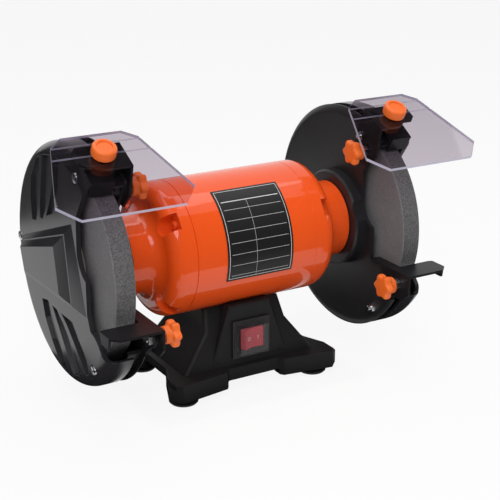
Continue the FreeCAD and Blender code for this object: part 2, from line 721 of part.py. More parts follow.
winding_outer = tie_radius - d.winding_gap
neck_radius = d.barrel_radius - d.neck_drop
dish_screw_circle = neck_radius - d.dish_screw_inset

# Spindle, rotor core, fan and wheels
seat = bore_rad - d.running_gap
half_spindle = [(spindle_end, 0), (spindle_end, seat - d.spindle_bevel),
                (spindle_end - d.spindle_bevel, seat), (flange_in, seat), (flange_in, journal_rad),
                (bearing_start, journal_rad), (bearing_start, core_rad)]
other_half = [(-x, r) for x, r in reversed(half_spindle)]
keep("spindle_shaft", at_spindle(spin("spindle_shaft", half_spindle + other_half)))

rotor_rad = d.stator_bore - d.air_gap
ring_end = stator_half + d.rotor_ring
ring_low = rotor_rad - d.ring_deep
ring_high = rotor_rad - d.ring_inset
core_bore = core_rad + d.seat_gap
keep("rotor_core", at_spindle(spin("rotor_core", [
    (-stator_half, core_bore), (stator_half, core_bore), (stator_half, ring_low), (ring_end, ring_low),
    (ring_end, ring_high), (stator_half, ring_high), (stator_half, rotor_rad), (-stator_half, rotor_rad),
    (-stator_half, ring_high), (-ring_end, ring_high), (-ring_end, ring_low), (-stator_half, ring_low)])))

disc_face = fan_start + d.fan_disc
fan = spin("cooling_fan", [
    (fan_start, core_bore), (fan_start + d.fan_width, core_bore), (fan_start + d.fan_width, d.fan_hub),
    (disc_face, d.fan_hub), (disc_face, fan_radius), (fan_start, fan_radius)])
half_blade = d.fan_blade / 2
blade_root = d.fan_hub - d.fan_bite
blade_tip = fan_radius - d.fan_bite
blade = pad_on(fan, "x", fan_start + d.fan_bite, d.fan_width - d.fan_bite, [
    (blade_root, -half_blade), (blade_tip, -half_blade), (blade_tip, half_blade), (blade_root, half_blade)])
blades = fan.newObject("PartDesign::PolarPattern", "cooling_fan_blades")
blades.Originals = [blade]
blades.Axis = (blade.Profile[0], ["N_Axis"])
blades.Angle = 360
bind(blades, "Occurrences", d.fan_blades)
fan.Tip = blades
keep("cooling_fan", at_spindle(fan))

ring_bore = bore_rad + d.seat_gap
seat_face = flange_in + d.inner_flange
relief_face = seat_face - d.relief_deep
inner_flange = at_spindle(spin("inner_flange", [
    (flange_in, ring_bore), (seat_face, ring_bore), (seat_face, bore_rad + d.flange_land),
    (relief_face, bore_rad + d.flange_land), (relief_face, d.flange_relief), (seat_face, d.flange_relief),
    (seat_face, d.flange_radius), (flange_in + d.inner_bevel, d.flange_radius),
    (flange_in, d.flange_radius - d.flange_slope)]))
pair("inner_flanges", [inner_flange])
outer_flange = at_spindle(spin("outer_flange", [
    (flange_out - d.outer_flange, ring_bore), (flange_out, ring_bore),
    (flange_out, d.flange_radius - d.flange_slope), (flange_out - d.outer_bevel, d.flange_radius),
    (flange_out - d.outer_flange, d.flange_radius)]))
pair("outer_flanges", [outer_flange])
blotter_rad = d.flange_radius + d.blotter_margin
blotter_in = at_spindle(spin("blotter_in", [
    (wheel_in - d.blotter_thick, ring_bore), (wheel_in, ring_bore),
    (wheel_in, blotter_rad), (wheel_in - d.blotter_thick, blotter_rad)]))
blotter_out = at_spindle(spin("blotter_out", [
    (wheel_out, ring_bore), (wheel_out + d.blotter_thick, ring_bore),
    (wheel_out + d.blotter_thick, blotter_rad), (wheel_out, blotter_rad)]))
pair("wheel_blotters", [blotter_in, blotter_out])
wheel = at_spindle(spin("right_grinding_wheel", [
    (wheel_in, ring_bore), (wheel_out, ring_bore), (wheel_out, wheel_rad - d.wheel_edge),
    (wheel_out - d.wheel_edge, wheel_rad), (wheel_in + d.wheel_edge, wheel_rad),
    (wheel_in, wheel_rad - d.wheel_edge)]))
both("grinding_wheel", wheel)
spindle_nut = at_spindle(prism("spindle_nut", "x", hexagon(0, 0, d.spindle_nut_flats), flange_out,
                               d.spindle_nut_thick, [(0, 0, ring_bore)]))
pair("spindle_nuts", [spindle_nut])

# Bearings
bearing_end = bearing_start + d.bearing_width
race_in = d.bearing_radius - d.bearing_race
inner_race = journal_rad + d.bearing_race
shield_edge = inner_race + d.race_gap
outer_race = at_spindle(spin("outer_race", [
    (bearing_start, shield_edge), (bearing_start, d.bearing_radius - d.seat_gap),
    (bearing_end, d.bearing_radius - d.seat_gap), (bearing_end, shield_edge),
    (bearing_end - d.race_shield, shield_edge), (bearing_end - d.race_shield, race_in),
    (bearing_start + d.race_shield, race_in), (bearing_start + d.race_shield, shield_edge)]))
pair("bearing_outer_races", [outer_race])
pair("bearing_inner_races", [at_spindle(spin("inner_race", [
    (bearing_start, journal_rad + d.seat_gap), (bearing_end, journal_rad + d.seat_gap),
    (bearing_end, inner_race), (bearing_start, inner_race)]))])
ball_circle = (race_in + inner_race) / 2
balls = []
for number in range(int(d.ball_count.value)):
    ball = doc.addObject("Part::Sphere", "ball_%d" % number)
    bind(ball, "Radius", (race_in - inner_race) / 2 - d.running_gap)
    turn = 360.0 * number / d.ball_count.value
    ball_y, ball_z = polar(ball_circle, turn)
    balls.append(at_spindle(ball, ball_y, ball_z, bearing_start + d.bearing_width / 2))
pair("bearing_balls", balls)

# Stator
stator = new_body("stator_core")
pad_on(stator, "x", -stator_half, stator_half * 2, (),
       [(0, 0, shell_in - d.seat_gap), (0, 0, d.stator_bore)])
slot_sketch = new_sketch(stator, "YZ_Plane", stator_half)
half_slot = d.slot_width / 2
half_mouth = d.slot_mouth / 2
mouth_low = d.stator_bore - d.slot_mouth
lip_top = d.stator_bore + d.slot_lip
slot_top = d.stator_bore + d.slot_depth
outline(slot_sketch, [
    (mouth_low, -half_mouth), (lip_top, -half_mouth), (lip_top, -half_slot), (slot_top, -half_slot),
    (slot_top, half_slot), (lip_top, half_slot), (lip_top, half_mouth), (mouth_low, half_mouth)])
slot = stator.newObject("PartDesign::Pocket", "stator_slot")
slot.Profile = slot_sketch
slot.Type = "ThroughAll"
slots = stator.newObject("PartDesign::PolarPattern", "stator_slots")
slots.Originals = [slot]
slots.Axis = (slot_sketch, ["N_Axis"])
slots.Angle = 360
bind(slots, "Occurrences", d.slot_count)
stator.Tip = slots
keep("stator_core", at_spindle(stator))
coil_end = stator_half + d.winding_reach
pair("stator_windings", [at_spindle(spin("end_turn", [
    (stator_half, winding_inner), (coil_end - d.winding_round, winding_inner, d.winding_round),
    (coil_end, winding_inner + d.winding_round), (coil_end, winding_outer - d.winding_round, d.winding_round),
    (coil_end - d.winding_round, winding_outer), (stator_half, winding_outer)]))])

# Motor shell with the lugs that take the end bell screws; the screws' angles above the front at each end
TIE_ANGLES = {"right": (30, 120, 210, 300), "left": (40, 130, 220, 310)}
shell_tube = new_body("shell_tube")
pad_on(shell_tube, "x", -d.barrel_half, d.barrel_half * 2, (), [(0, 0, d.barrel_radius), (0, 0, shell_in)])
at_spindle(shell_tube)
lug_end = d.barrel_half - d.spigot_length
lug_start = tie_seat - d.tie_length - d.lug_tail
shell_lugs = []
shell_holes = []
for end, angles in TIE_ANGLES.items():
    right = end == "right"
    for angle in angles:
        lug = block("shell_lug_%d" % angle, lug_start if right else -lug_end,
                    lug_end if right else -lug_start, -d.lug_half, d.lug_half,
                    tie_radius - d.lug_drop, d.barrel_radius - d.barrel_wall / 2)
        holder = doc.addObject("Part::Compound", "shell_lug_turn_%d" % angle)
        holder.Links = [lug]
        place(holder, 0, 0, d.spindle_height, (1, 0, 0), 90 - angle)
        shell_lugs.append(holder)
        hole_y, hole_z = polar(tie_radius, angle)
        shell_holes.append(rod("shell_hole_%d" % angle, "x", d.tie_shank + d.seat_gap,
                               d.tie_length, tie_seat - d.tie_length if right else -tie_seat,
                               hole_y, d.spindle_height + hole_z))
for side in (1, -1):
    shell_holes.append(rod("mount_hole_%d" % (side + 1), "z", d.mount_screw + d.seat_gap, d.barrel_wall,
                           d.mount_screw_x * side, 0, d.spindle_height - d.barrel_radius - d.mount_skin))
keep("motor_shell", cut("motor_shell", fuse("shell_solid", [shell_tube] + shell_lugs), shell_holes))

label_in = d.barrel_radius + d.label_lift
label_out = label_in + d.label_thick
label = spin("rating_plate", [
    (-d.label_left, label_in), (d.label_right, label_in), (d.label_right, label_out),
    (-d.label_left, label_out)], d.label_sweep)
keep("rating_plate", place(label, 0, 0, d.spindle_height, (1, 0, 0), 180 - d.label_top))

# End bells: a round shoulder that sweeps in to a solid neck, a bearing hub and four screw pockets
straight_x = d.barrel_half + d.bell_straight
shoulder_x = straight_x + d.shoulder_bend
shoulder_rad = d.barrel_radius - d.shoulder_bend
sweep_bend = d.neck_drop - d.shoulder_bend
root_x = shoulder_x + sweep_bend
spigot_out = shell_in - d.seat_gap
spigot_in = spigot_out - d.spigot_wall
spigot_start = d.barrel_half - d.spigot_length
hub_start = bearing_start - d.hub_lead
shaft_hole = inner_race + d.shaft_room
bell_skin = [
    (neck_end, neck_radius - d.neck_bevel), (neck_end - d.neck_bevel, neck_radius),
    (root_x, neck_radius, -sweep_bend), (shoulder_x, shoulder_rad, d.shoulder_bend),
    (straight_x, d.barrel_radius), (d.barrel_half + d.seam_bevel, d.barrel_radius),
    (d.barrel_half, d.barrel_radius - d.seam_bevel)]
bell_turn = at_spindle(spin("bell_turn", [
    (spigot_start, spigot_in), (straight_x, spigot_in),
    (shoulder_x - d.bell_wall, shoulder_rad, sweep_bend + d.bell_wall),
    (root_x, neck_radius - d.bell_wall), (root_x, d.hub_radius), (hub_start, d.hub_radius),
    (hub_start, d.bearing_radius), (bearing_end, d.bearing_radius), (bearing_end, shaft_hole),
    (neck_end, shaft_hole)]
    + bell_skin + [(d.barrel_half, spigot_out), (spigot_start, spigot_out)]))
bell_envelope = at_spindle(spin("bell_envelope", [(d.barrel_half, 0), (neck_end, 0)] + bell_skin))
pocket_rad = d.pocket_width / 2
tie_tip = tie_seat - d.tie_length + d.tie_room
dish_screws = []
dish_holes = []
neck_holes = []
for angle in (90, 210, 330):
    spot_y, spot_z = polar(dish_screw_circle, angle)
    neck_holes.append(rod("neck_hole_%d" % angle, "x", d.dish_screw + d.seat_gap,
                         d.dish_screw_grip + d.cut_past * 2, neck_end - d.dish_screw_grip - d.cut_past,
                         spot_y, d.spindle_height + spot_z))
    dish_holes.append(rod("dish_hole_%d" % angle, "x", d.dish_screw + d.hole_gap,
                          d.dish_thick + d.cut_past * 2, neck_end - d.cut_past,
                          spot_y, d.spindle_height + spot_z))
    grip = neck_end + d.dish_thick
    dish_screws.append(at_spindle(spin("dish_screw_%d" % angle, [
        (neck_end - d.dish_screw_grip, 0), (neck_end - d.dish_screw_grip, d.dish_screw),
        (grip, d.dish_screw), (grip, d.dish_screw_head), (grip + d.dish_screw_high, d.dish_screw_head),
        (grip + d.dish_screw_high, 0)]), spot_y, spot_z))
bells = {}
bell_screws = []
for end, angles in TIE_ANGLES.items():
    bosses_in = []
    bell_cuts = []
    for angle in angles:
        tie_y, tie_z = polar(tie_radius, angle)
        spot = (tie_y, d.spindle_height + tie_z)
        bosses_in.append(rod("tie_boss_%d" % angle, "x", d.tie_boss, d.tie_set, d.barrel_half, *spot))
        bosses_in.append(rod("tie_housing_%d" % angle, "x", pocket_rad + d.bell_wall, root_x - tie_seat,
                             tie_seat - d.bell_wall, *spot))
        bell_cuts.append(rod("tie_hole_%d" % angle, "x", d.tie_shank + d.hole_gap, d.tie_length,
                             tie_tip, *spot))
        bell_cuts.append(rod("tie_channel_%d" % angle, "x", pocket_rad, neck_end - tie_seat,
                             tie_seat, *spot))
        pocket = block("tie_pocket_%d" % angle, tie_seat, neck_end, -pocket_rad, pocket_rad, tie_radius,
                       d.barrel_radius + d.pocket_width)
        turned = doc.addObject("Part::Compound", "tie_pocket_turn_%d" % angle)
        turned.Links = [pocket]
        place(turned, 0, 0, d.spindle_height, (1, 0, 0), 90 - angle)
        bell_cuts.append(turned)
        screw = at_spindle(spin("tie_screw_%d" % angle, [
            (tie_tip, 0), (tie_tip, d.tie_shank), (tie_seat, d.tie_shank), (tie_seat, d.tie_head),
            (tie_seat + d.tie_head_high - d.head_bevel, d.tie_head),
            (tie_seat + d.tie_head_high, d.tie_head - d.head_ease), (tie_seat + d.tie_head_high, 0)]),
            tie_y, tie_z)
        bell_screws.append(screw if end == "right" else mirror("tie_screw_left_%d" % angle, screw))
    bell_bosses = doc.addObject("Part::MultiCommon", "bell_bosses_" + end)
    bell_bosses.Shapes = [fuse("bell_boss_rods_" + end, bosses_in), bell_envelope]
    bells[end] = cut("bell_casting_" + end, fuse("bell_solid_" + end, [bell_turn, bell_bosses]),
                     bell_cuts + neck_holes)
keep("right_end_bell", bells["right"])
keep("left_end_bell", mirror("left_end_bell", bells["left"]))
keep("end_bell_screws", group("end_bell_screws", bell_screws))
pair("guard_mount_screws", dish_screws)

# Guards: the outline of the front opening is shared by dish and cover
nose_y, nose_z = polar(wheel_rad * 2, d.nose_angle)
notch_y, notch_z = polar(d.notch_radius, d.nose_angle)
tip_y, tip_z = polar(guard_rad, -d.chin_angle)
chin_y = -tip_y - d.chin_shelf
chin_z = -tip_z
dish_ring = wheel_rad + d.dish_ring_gap
OPENING = [
    (nose_y, nose_z), (-wheel_rad * 2, nose_z), (-wheel_rad * 2, -chin_z), (-chin_y, -chin_z, -d.chin_bend),
    (-d.belly_y - d.belly_cut_y, -d.belly_low - d.belly_cut_z), (-d.belly_y, -d.belly_low),
    (-d.belly_y, d.belly_high, d.belly_bend), (-d.waist_y, d.waist_z), (notch_y, notch_z)]
RIM_ANGLES = {"top": d.rim_top, "low": -d.rim_low, "rear": as_size(180)}

dish_turn = at_spindle(spin("dish_turn", [
    (neck_end, d.dish_hole), (neck_end, d.dish_boss - d.dish_boss_bevel),
    (neck_end + d.dish_boss_bevel, d.dish_boss), (dish_in, d.dish_boss),
    (dish_in, guard_rad - d.dish_round, -d.dish_bend), (dish_out, guard_rad),
    (dish_out + d.dish_edge, guard_rad), (dish_out + d.dish_edge, guard_rad - d.dish_edge_wide),
    (dish_out, guard_rad - d.dish_edge_wide - d.dish_edge),
    (dish_out, dish_ring), (cover_lip + d.ring_overlap, dish_ring),
    (cover_lip + d.ring_overlap, dish_ring - d.dish_ring_wall), (dish_out, dish_ring - d.dish_ring_wall),
    (dish_out, d.dish_boss - d.dish_thick), (neck_end + d.dish_thick, d.dish_boss - d.dish_thick),
    (neck_end + d.dish_thick, d.dish_hole)]))
posts = []
post_holes = []
post_rooms = []
rim_seats = []
rim_screws = []
rim_face = cover_face - d.rim_sink
rim_nuts = []
for name, angle in RIM_ANGLES.items():
    rim_y, rim_z = polar(rim_circle, angle)
    spot = (rim_y, d.spindle_height + rim_z)
    nut_face = collar_face if name == "top" else dish_in
    tail = nut_face - d.rim_nut_thick - d.rim_tail
    posts.append(rod("rim_post_" + name, "x", d.rim_post, cover_in - dish_in, dish_in, *spot))
    post_holes.append(rod("rim_hole_" + name, "x", d.rim_screw + d.hole_gap,
                          cover_face - dish_in + d.cut_past * 2, dish_in - d.cut_past, *spot))
    post_rooms.append(rod("rim_room_" + name, "x", d.rim_post + d.hole_gap, d.cover_round,
                          cover_in - d.cover_round, *spot))
    rim_seats.append(rod("rim_seat_" + name, "x", d.rim_seat, d.rim_sink + d.cut_past, rim_face, *spot))
    rim_screws.append(at_spindle(spin("rim_screw_" + name, [
        (tail, 0), (tail, d.rim_screw), (rim_face, d.rim_screw), (rim_face, d.rim_head),
        (rim_face + d.rim_head_high - d.head_bevel, d.rim_head),
        (rim_face + d.rim_head_high, d.rim_head - d.head_ease), (rim_face + d.rim_head_high, 0)]),
        rim_y, rim_z))
    rim_nuts.append(at_spindle(prism("rim_nut_" + name, "x", hexagon(rim_y, rim_z, d.rim_nut_flats),
                                     nut_face - d.rim_nut_thick, d.rim_nut_thick,
                                     [(rim_y, rim_z, d.rim_screw + d.seat_gap)])))
cover_crest = cover_face + d.step_one + d.step_two
opening_cut = at_spindle(prism("opening_cut", "x", OPENING, neck_end - d.cut_past,
                               cover_crest - neck_end + d.cut_past * 2))
lug_top = d.lug_radius + rest_stud_z
rest_lug = at_spindle(prism("rest_lug", "x", [
    (-d.belly_y + d.lug_root, lug_top - d.lug_fall), (rest_stud_y, lug_top, d.lug_radius),
    (rest_stud_y - d.lug_radius, rest_stud_z, d.lug_radius), (rest_stud_y, rest_stud_z - d.lug_radius),
    (-chin_y + d.lug_toe_y, -chin_z - d.lug_toe_z), (-d.belly_y + d.lug_root, -chin_z - d.lug_toe_z)],
    dish_in, d.dish_thick))
stud_holes = []
for name, y, z in (("rest", rest_stud_y, rest_stud_z), ("clamp", clamp_y, clamp_z)):
    stud_holes.append(rod("stud_hole_" + name, "x", d.stud_radius + d.hole_gap,
                          d.dish_thick + d.dish_edge + d.cut_past * 2, dish_in - d.cut_past,
                          y, d.spindle_height + z))
dish_cut = cut("dish_cut", fuse("dish_solid", [dish_turn] + posts), [opening_cut])
both("guard_dish", cut("right_guard_dish", fuse("dish_lugged", [dish_cut, rest_lug]),
                       post_holes + dish_holes + stud_holes))
pair("cover_screws", rim_screws)
pair("cover_nuts", rim_nuts)

cover_hollow = d.cover_round - d.cover_wall
cover_turn = at_spindle(spin("cover_turn", [
    (cover_in, 0), (cover_face, 0), (cover_face, guard_rad - d.cover_round, d.cover_round),
    (cover_face - d.cover_round, guard_rad), (cover_lip, guard_rad), (cover_lip, guard_rad - d.cover_wall),
    (cover_in - cover_hollow, guard_rad - d.cover_wall, -cover_hollow),
    (cover_in, guard_rad - d.cover_round)]))
RAMPS = [
    ("lower", cover_face, d.step_one, [(-58, -32), (95, -38), (97, 3), (-32, 50)],
     [(-31, -30), (91, -35.5), (93, 0), (-20, 38)]),
    ("upper", cover_face + d.step_one, d.step_two, [(-29, -29), (90, -34), (92, -1.5), (-18.5, 36)],
     [(-9, -25), (82, -30), (90, -6), (0, 20.5)]),
]
ramps = []
for name, start, rise, foot, crest in RAMPS:
    ramp = new_body("cover_ramp_" + name)
    sections = []
    for level, corners in ((start, foot), (start + rise, crest)):
        section = new_sketch(ramp, "YZ_Plane", level)
        outline(section, corners)
        sections.append(section)
    slope = ramp.newObject("PartDesign::AdditiveLoft", "cover_slope_" + name)
    slope.Profile = sections[0]
    slope.Sections = sections[1:]
    slope.Ruled = True
    ramps.append(at_spindle(ramp))
# Grooves in the cover: two angles at the rim, then the corners that follow towards the ramps
GROOVES = [
    (112, 117, [(65, 72), (69, 50), (68, 28), (57.7, 29.6), (50.7, 47), (43.4, 73.5)]),
    (95, 107.5, [(39, 73), (45, 48.4), (46, 35), (39.4, 36), (24.6, 57.9), (15.2, 80.4)]),
    (80, 92, [(12, 71.5), (22, 54.2), (30, 41.5), (5, 51), (-16, 60), (-17, 66)]),
    (-89.5, -97, [(33, -86), (47, -68), (53, -50), (37, -46.5), (15, -73.5)]),
    (-69.5, -79.5, [(7, -72), (27, -48.5), (16, -48.8), (1, -58), (-29, -81)]),
    (-57.5, -61, [(-22.4, -67.3), (-7.7, -55.7), (5, -49), (-24, -48.5), (-36, -61), (-53, -75)]),
]
grooves = []
groove_rad = guard_rad - d.groove_edge
for number, (first, last, inner) in enumerate(GROOVES):
    corners = [polar(groove_rad, first), polar(groove_rad, last)] + inner
    grooves.append(at_spindle(prism("cover_groove_%d" % number, "x", corners, cover_face - d.groove_deep,
                                    d.groove_deep + d.cut_past)))
recess = rod("nut_recess", "x", d.nut_recess, spindle_end + d.nut_room - cover_in + d.cut_past,
             cover_in - d.cut_past, 0, d.spindle_height)
# Spark plates: an angle that sits on the rim's end and on top of the rim
leg_tip = wheel_rad + d.arrestor_gap
flange_low = guard_rad + d.seat_gap
flange_top = flange_low + d.arrestor_thick


def from_cut(radius, ahead):
    """A point (y, z) at a radius along the upper cut, moved ahead of it."""
    y = -(as_size(radius) * cosine(d.nose_angle)) - as_size(ahead) * sine(d.nose_angle)
    z = as_size(radius) * sine(d.nose_angle) - as_size(ahead) * cosine(d.nose_angle)
    return y, z


flange_stop = d.nose_angle + d.arrestor_sweep
arrestor = at_spindle(prism("arrestor_sheet", "x", [
    from_cut(leg_tip, d.seat_gap), from_cut(leg_tip, d.seat_gap + d.arrestor_thick),
    from_cut(flange_top, d.seat_gap + d.arrestor_thick),
    polar(flange_top, d.nose_angle) + (-flange_top,), polar(flange_top, flange_stop),
    polar(flange_low, flange_stop) + (flange_low,), polar(flange_low, d.nose_angle)],
    cover_lip + d.arrestor_side, cover_in - cover_lip - d.arrestor_side * 2))
screw_turn = 90 - (d.nose_angle + d.arrestor_inset)
screw_foot = guard_rad - d.cover_wall - d.arrestor_tail
screw_head = flange_top + d.arrestor_head
arrestor_screws = []
arrestor_holes = []
for side in (1, -1):
    screw_x = wheel_centre + d.arrestor_shift + d.arrestor_spread * side
    shape = spin("arrestor_screw_%d" % (side + 1), [
        (0, screw_foot), (d.arrestor_screw, screw_foot), (d.arrestor_screw, flange_top),
        (d.arrestor_screw * 2, flange_top), (d.arrestor_screw * 2, screw_head - d.head_bevel),
        (d.arrestor_screw * 2 - d.head_ease, screw_head), (0, screw_head)], upright=True)
    arrestor_screws.append(place(shape, screw_x, 0, d.spindle_height, (1, 0, 0), screw_turn))
    hole_y, hole_z = polar(screw_foot - d.cut_past, d.nose_angle + d.arrestor_inset)
    hole = rod("arrestor_hole_%d" % (side + 1), "z", d.arrestor_screw + d.seat_gap,
               screw_head - screw_foot + d.cut_past)
    arrestor_holes.append(place(hole, screw_x, hole_y, d.spindle_height + hole_z, (1, 0, 0), screw_turn))
both("spark_plate", cut("right_spark_plate", arrestor, arrestor_holes))
pair("spark_plate_screws", arrestor_screws)
cover_cuts = [opening_cut, recess] + grooves + post_holes + post_rooms + rim_seats + arrestor_holes
both("guard_cover", cut("right_guard_cover", fuse("cover_solid", [cover_turn] + ramps), cover_cuts))

# Eye shields, drawn in their own sloping frame with the knob axis as its origin
plane_rise = guard_rad + d.shield_lift


def on_slope(thing):
    """Puts a piece that was drawn in the shield's frame into its sloping place."""
    return place(thing, wheel_centre, -plane_rise * sine(d.shield_tilt),
                 d.spindle_height + plane_rise * cosine(d.shield_tilt), (1, 0, 0), d.shield_tilt)


def slope_point(s, rise):
    """A point (y, z) about the spindle, from the shield's rear edge and its top face."""
    along = as_size(s) - d.shield_knob_s
    level = plane_rise + rise
    y = -level * sine(d.shield_tilt) - along * cosine(d.shield_tilt)
    z = level * cosine(d.shield_tilt) - along * sine(d.shield_tilt)
    return y, z


def down_slope(s):
    return d.shield_knob_s - s


right_edge = [(d.shield_front, down_slope(d.shield_length)), (d.shield_wide, down_slope(d.shield_wide_s)),
              (d.shield_shoulder, down_slope(d.shield_shoulder_s)), (d.shield_rear, down_slope(0))]
left_edge = [(-x, y) for x, y in reversed(right_edge)]
bolt_fit = d.bolt_radius + d.hole_gap
shield = prism("right_eye_shield", "z", right_edge + left_edge, -d.shield_thick, d.shield_thick,
               [(0, 0, bolt_fit)])
line_sketch = new_sketch(shield, "XY_Plane", 0)
for line in (d.shield_line_one, d.shield_line_two):
    near = down_slope(line) + d.shield_line_wide / 2
    far = down_slope(line) - d.shield_line_wide / 2
    reach = d.shield_wide + d.cut_past
    outline(line_sketch, [(-reach, far), (reach, far), (reach, near), (-reach, near)])
lines = shield.newObject("PartDesign::Pocket", "eye_shield_lines")
lines.Profile = line_sketch
bind(lines, "Length", d.shield_line_deep)
both("eye_shield", on_slope(shield))

sheet_back = sheet_face - d.bracket_thick
tab_in = sheet_back - wheel_centre
tab = on_slope(prism("bracket_tab", "z", [
    (tab_in, down_slope(d.bracket_start)), (tab_in, down_slope(d.bracket_end)),
    (tab_in + d.tab_step, down_slope(d.bracket_end)), (tab_in + d.tab_slope, down_slope(d.bracket_tip)),
    (d.bracket_outer - d.tab_corner, down_slope(d.bracket_tip)),
    (d.bracket_outer, down_slope(d.bracket_tip) + d.tab_corner),
    (d.bracket_outer, down_slope(d.bracket_start) - d.tab_bevel),
    (d.bracket_outer - d.tab_bevel, down_slope(d.bracket_start))],
    -d.shield_thick - d.bracket_thick, d.bracket_thick, [(0, 0, bolt_fit)]))
# Lower corners of the bracket's cheek, from the pivot
CHEEK = [(-27, 2), (-22, -18), (-8, -31), (7, -27), (14, -16), (9, 8)]
cheek = at_spindle(prism("bracket_cheek", "x", [
    slope_point(d.bracket_start, -d.shield_thick), slope_point(d.bracket_end, -d.shield_thick)]
    + [(pivot_y + y, pivot_z + z) for y, z in CHEEK],
    sheet_back, d.bracket_thick, [(pivot_y, pivot_z, d.rim_screw + d.running_gap)]))


def arm(radius, lean):
    """A point (y, z) below the shield's pivot, leaning to the front."""
    return pivot_y - as_size(radius) * sine(lean), pivot_z - as_size(radius) * cosine(lean)


stud_fit = d.stud_radius + d.hole_gap
slot_low = d.clamp_lean - d.tilt_up - d.slot_margin
slot_high = d.clamp_lean + d.tilt_down + d.slot_margin
slot_in = d.clamp_reach - stud_fit
slot_out = d.clamp_reach + stud_fit
arc_slot = at_spindle(prism("arc_slot", "x", [
    arm(slot_in, slot_low) + (-slot_in,), arm(slot_in, slot_high),
    arm(slot_out, slot_high) + (slot_out,), arm(slot_out, slot_low)],
    sheet_back - d.cut_past, d.bracket_thick + d.cut_past * 2))
both("shield_bracket", cut("right_shield_bracket", fuse("bracket_solid", [tab, cheek]), [arc_slot]))

bolt_low = -d.shield_thick - d.bracket_thick
bolt_top = d.thumb_high - d.thumb_dish_deep - d.bolt_short
both("shield_bolt", on_slope(spin("right_shield_bolt", [
    (0, bolt_low - d.bolt_head_high), (d.bolt_head - d.head_ease, bolt_low - d.bolt_head_high),
    (d.bolt_head, bolt_low - d.bolt_head_high + d.head_bevel), (d.bolt_head, bolt_low),
    (d.bolt_radius, bolt_low),
    (d.bolt_radius, bolt_top), (0, bolt_top)], upright=True)))
thumb_floor = d.thumb_high - d.thumb_dish_deep
bolt_bore = d.bolt_radius + d.running_gap
both("shield_thumb_knob", on_slope(spin("right_shield_thumb_knob", [
    (bolt_bore, d.clamp_gap), (d.thumb_radius - d.thumb_bevel, d.clamp_gap),
    (d.thumb_radius, d.clamp_gap + d.thumb_bevel),
    (d.thumb_radius, d.thumb_high - d.thumb_round, d.thumb_round),
    (d.thumb_radius - d.thumb_round, d.thumb_high), (d.thumb_dish, d.thumb_high),
    (d.thumb_dish - d.thumb_dish_deep, thumb_floor), (0, thumb_floor),
    (0, bolt_top + d.bolt_room), (bolt_bore, bolt_top + d.bolt_room)], upright=True)))


# Star knobs with their studs, for the shield clamps and the tool rests
def star_knob(name, face, y, z):
    """A lobed knob whose collar ends at a face, with its stud and the nut behind the dish."""
    hub_start = face - d.collar_long - d.hub_long
    disc_start = hub_start - d.knob_thick
    body = new_body(name + "_lobes")
    pad_on(body, "x", disc_start, d.knob_thick, (), [(0, 0, d.knob_core)])
    pad_on(body, "x", disc_start, d.knob_thick + d.hub_long, (), [(0, 0, d.knob_hub)])
    lobe = pad_on(body, "x", disc_start + d.lobe_inset, d.knob_thick - d.lobe_inset * 2, (),
                  [(0, d.lobe_circle, d.lobe_radius)])
    lobes = body.newObject("PartDesign::PolarPattern", name + "_pattern")
    lobes.Originals = [lobe]
    lobes.Axis = (lobe.Profile[0], ["N_Axis"])
    lobes.Angle = 360
    bind(lobes, "Occurrences", d.lobe_count)
    body.Tip = lobes
    at_spindle(body, y, z)
    bore = rod(name + "_bore", "x", d.stud_radius + d.seat_gap, d.knob_thick + d.hub_long,
               disc_start + d.knob_cap, y, d.spindle_height + z)
    both(name, cut("right_" + name, body, [bore]))
    stud_end = dish_out + d.knob_nut_thick + d.stud_tail
    collar_start = face - d.collar_long
    stud_start = disc_start + d.knob_cap + d.stud_room
    both(name + "_stud", at_spindle(spin("right_" + name + "_stud", [
        (stud_start, 0), (stud_start, d.stud_radius), (collar_start, d.stud_radius),
        (collar_start, d.collar_radius), (face, d.collar_radius), (face, d.stud_radius),
        (stud_end - d.stud_bevel, d.stud_radius), (stud_end, d.stud_radius - d.stud_bevel), (stud_end, 0)]),
        y, z))
    return at_spindle(prism(name + "_nut", "x", hexagon(y, z, d.knob_nut_flats), dish_out, d.knob_nut_thick,
                            [(y, z, d.stud_radius + d.running_gap)]))


clamp_nut = star_knob("shield_clamp_knob", collar_face, clamp_y, clamp_z)
rest_nut = star_knob("rest_knob", rest_collar_face, rest_stud_y, rest_stud_z)
pair("knob_nuts", [clamp_nut, rest_nut])

# Tool rests
rest_in = sheet_face - d.rest_thick
rest_out = wheel_centre + d.rest_outer
leg_out = rest_in + d.rest_leg
rest_top = d.spindle_height - d.rest_drop
leg_end = rest_near + d.rest_leg_back
rest_plate = prism("rest_plate", "z", [
    (rest_in, rest_front), (rest_out - d.rest_chamfer, rest_front), (rest_out, rest_front + d.rest_chamfer),
    (rest_out, rest_near - d.rest_ease), (rest_out - d.rest_ease_wide, rest_near), (leg_out, rest_near),
    (leg_out, leg_end), (rest_in, leg_end)], rest_top - d.rest_thick, d.rest_thick)
flange_foot = -d.rest_drop - d.rest_flange_high
flange_back = rest_near + d.rest_flange_back
rest_flange = at_spindle(prism("rest_flange", "x", [
    (rest_front, -d.rest_drop), (rest_front, flange_foot + d.rest_chamfer),
    (rest_front + d.rest_chamfer, flange_foot), (flange_back - d.rest_flange_slope, flange_foot),
    (flange_back, flange_foot + d.rest_flange_slope), (flange_back, -d.rest_drop)],
    rest_in, d.rest_thick))
flap_front = rest_front + d.rest_chamfer
flap_back = rest_near - d.rest_ease
flap_foot = -d.rest_drop - d.rest_flap_high
rest_flap = at_spindle(prism("rest_flap", "x", [
    (flap_front, -d.rest_drop), (flap_front + d.rest_ease, flap_foot), (flap_back - d.rest_ease, flap_foot),
    (flap_back, -d.rest_drop)],
    rest_out - d.rest_thick, d.rest_thick))
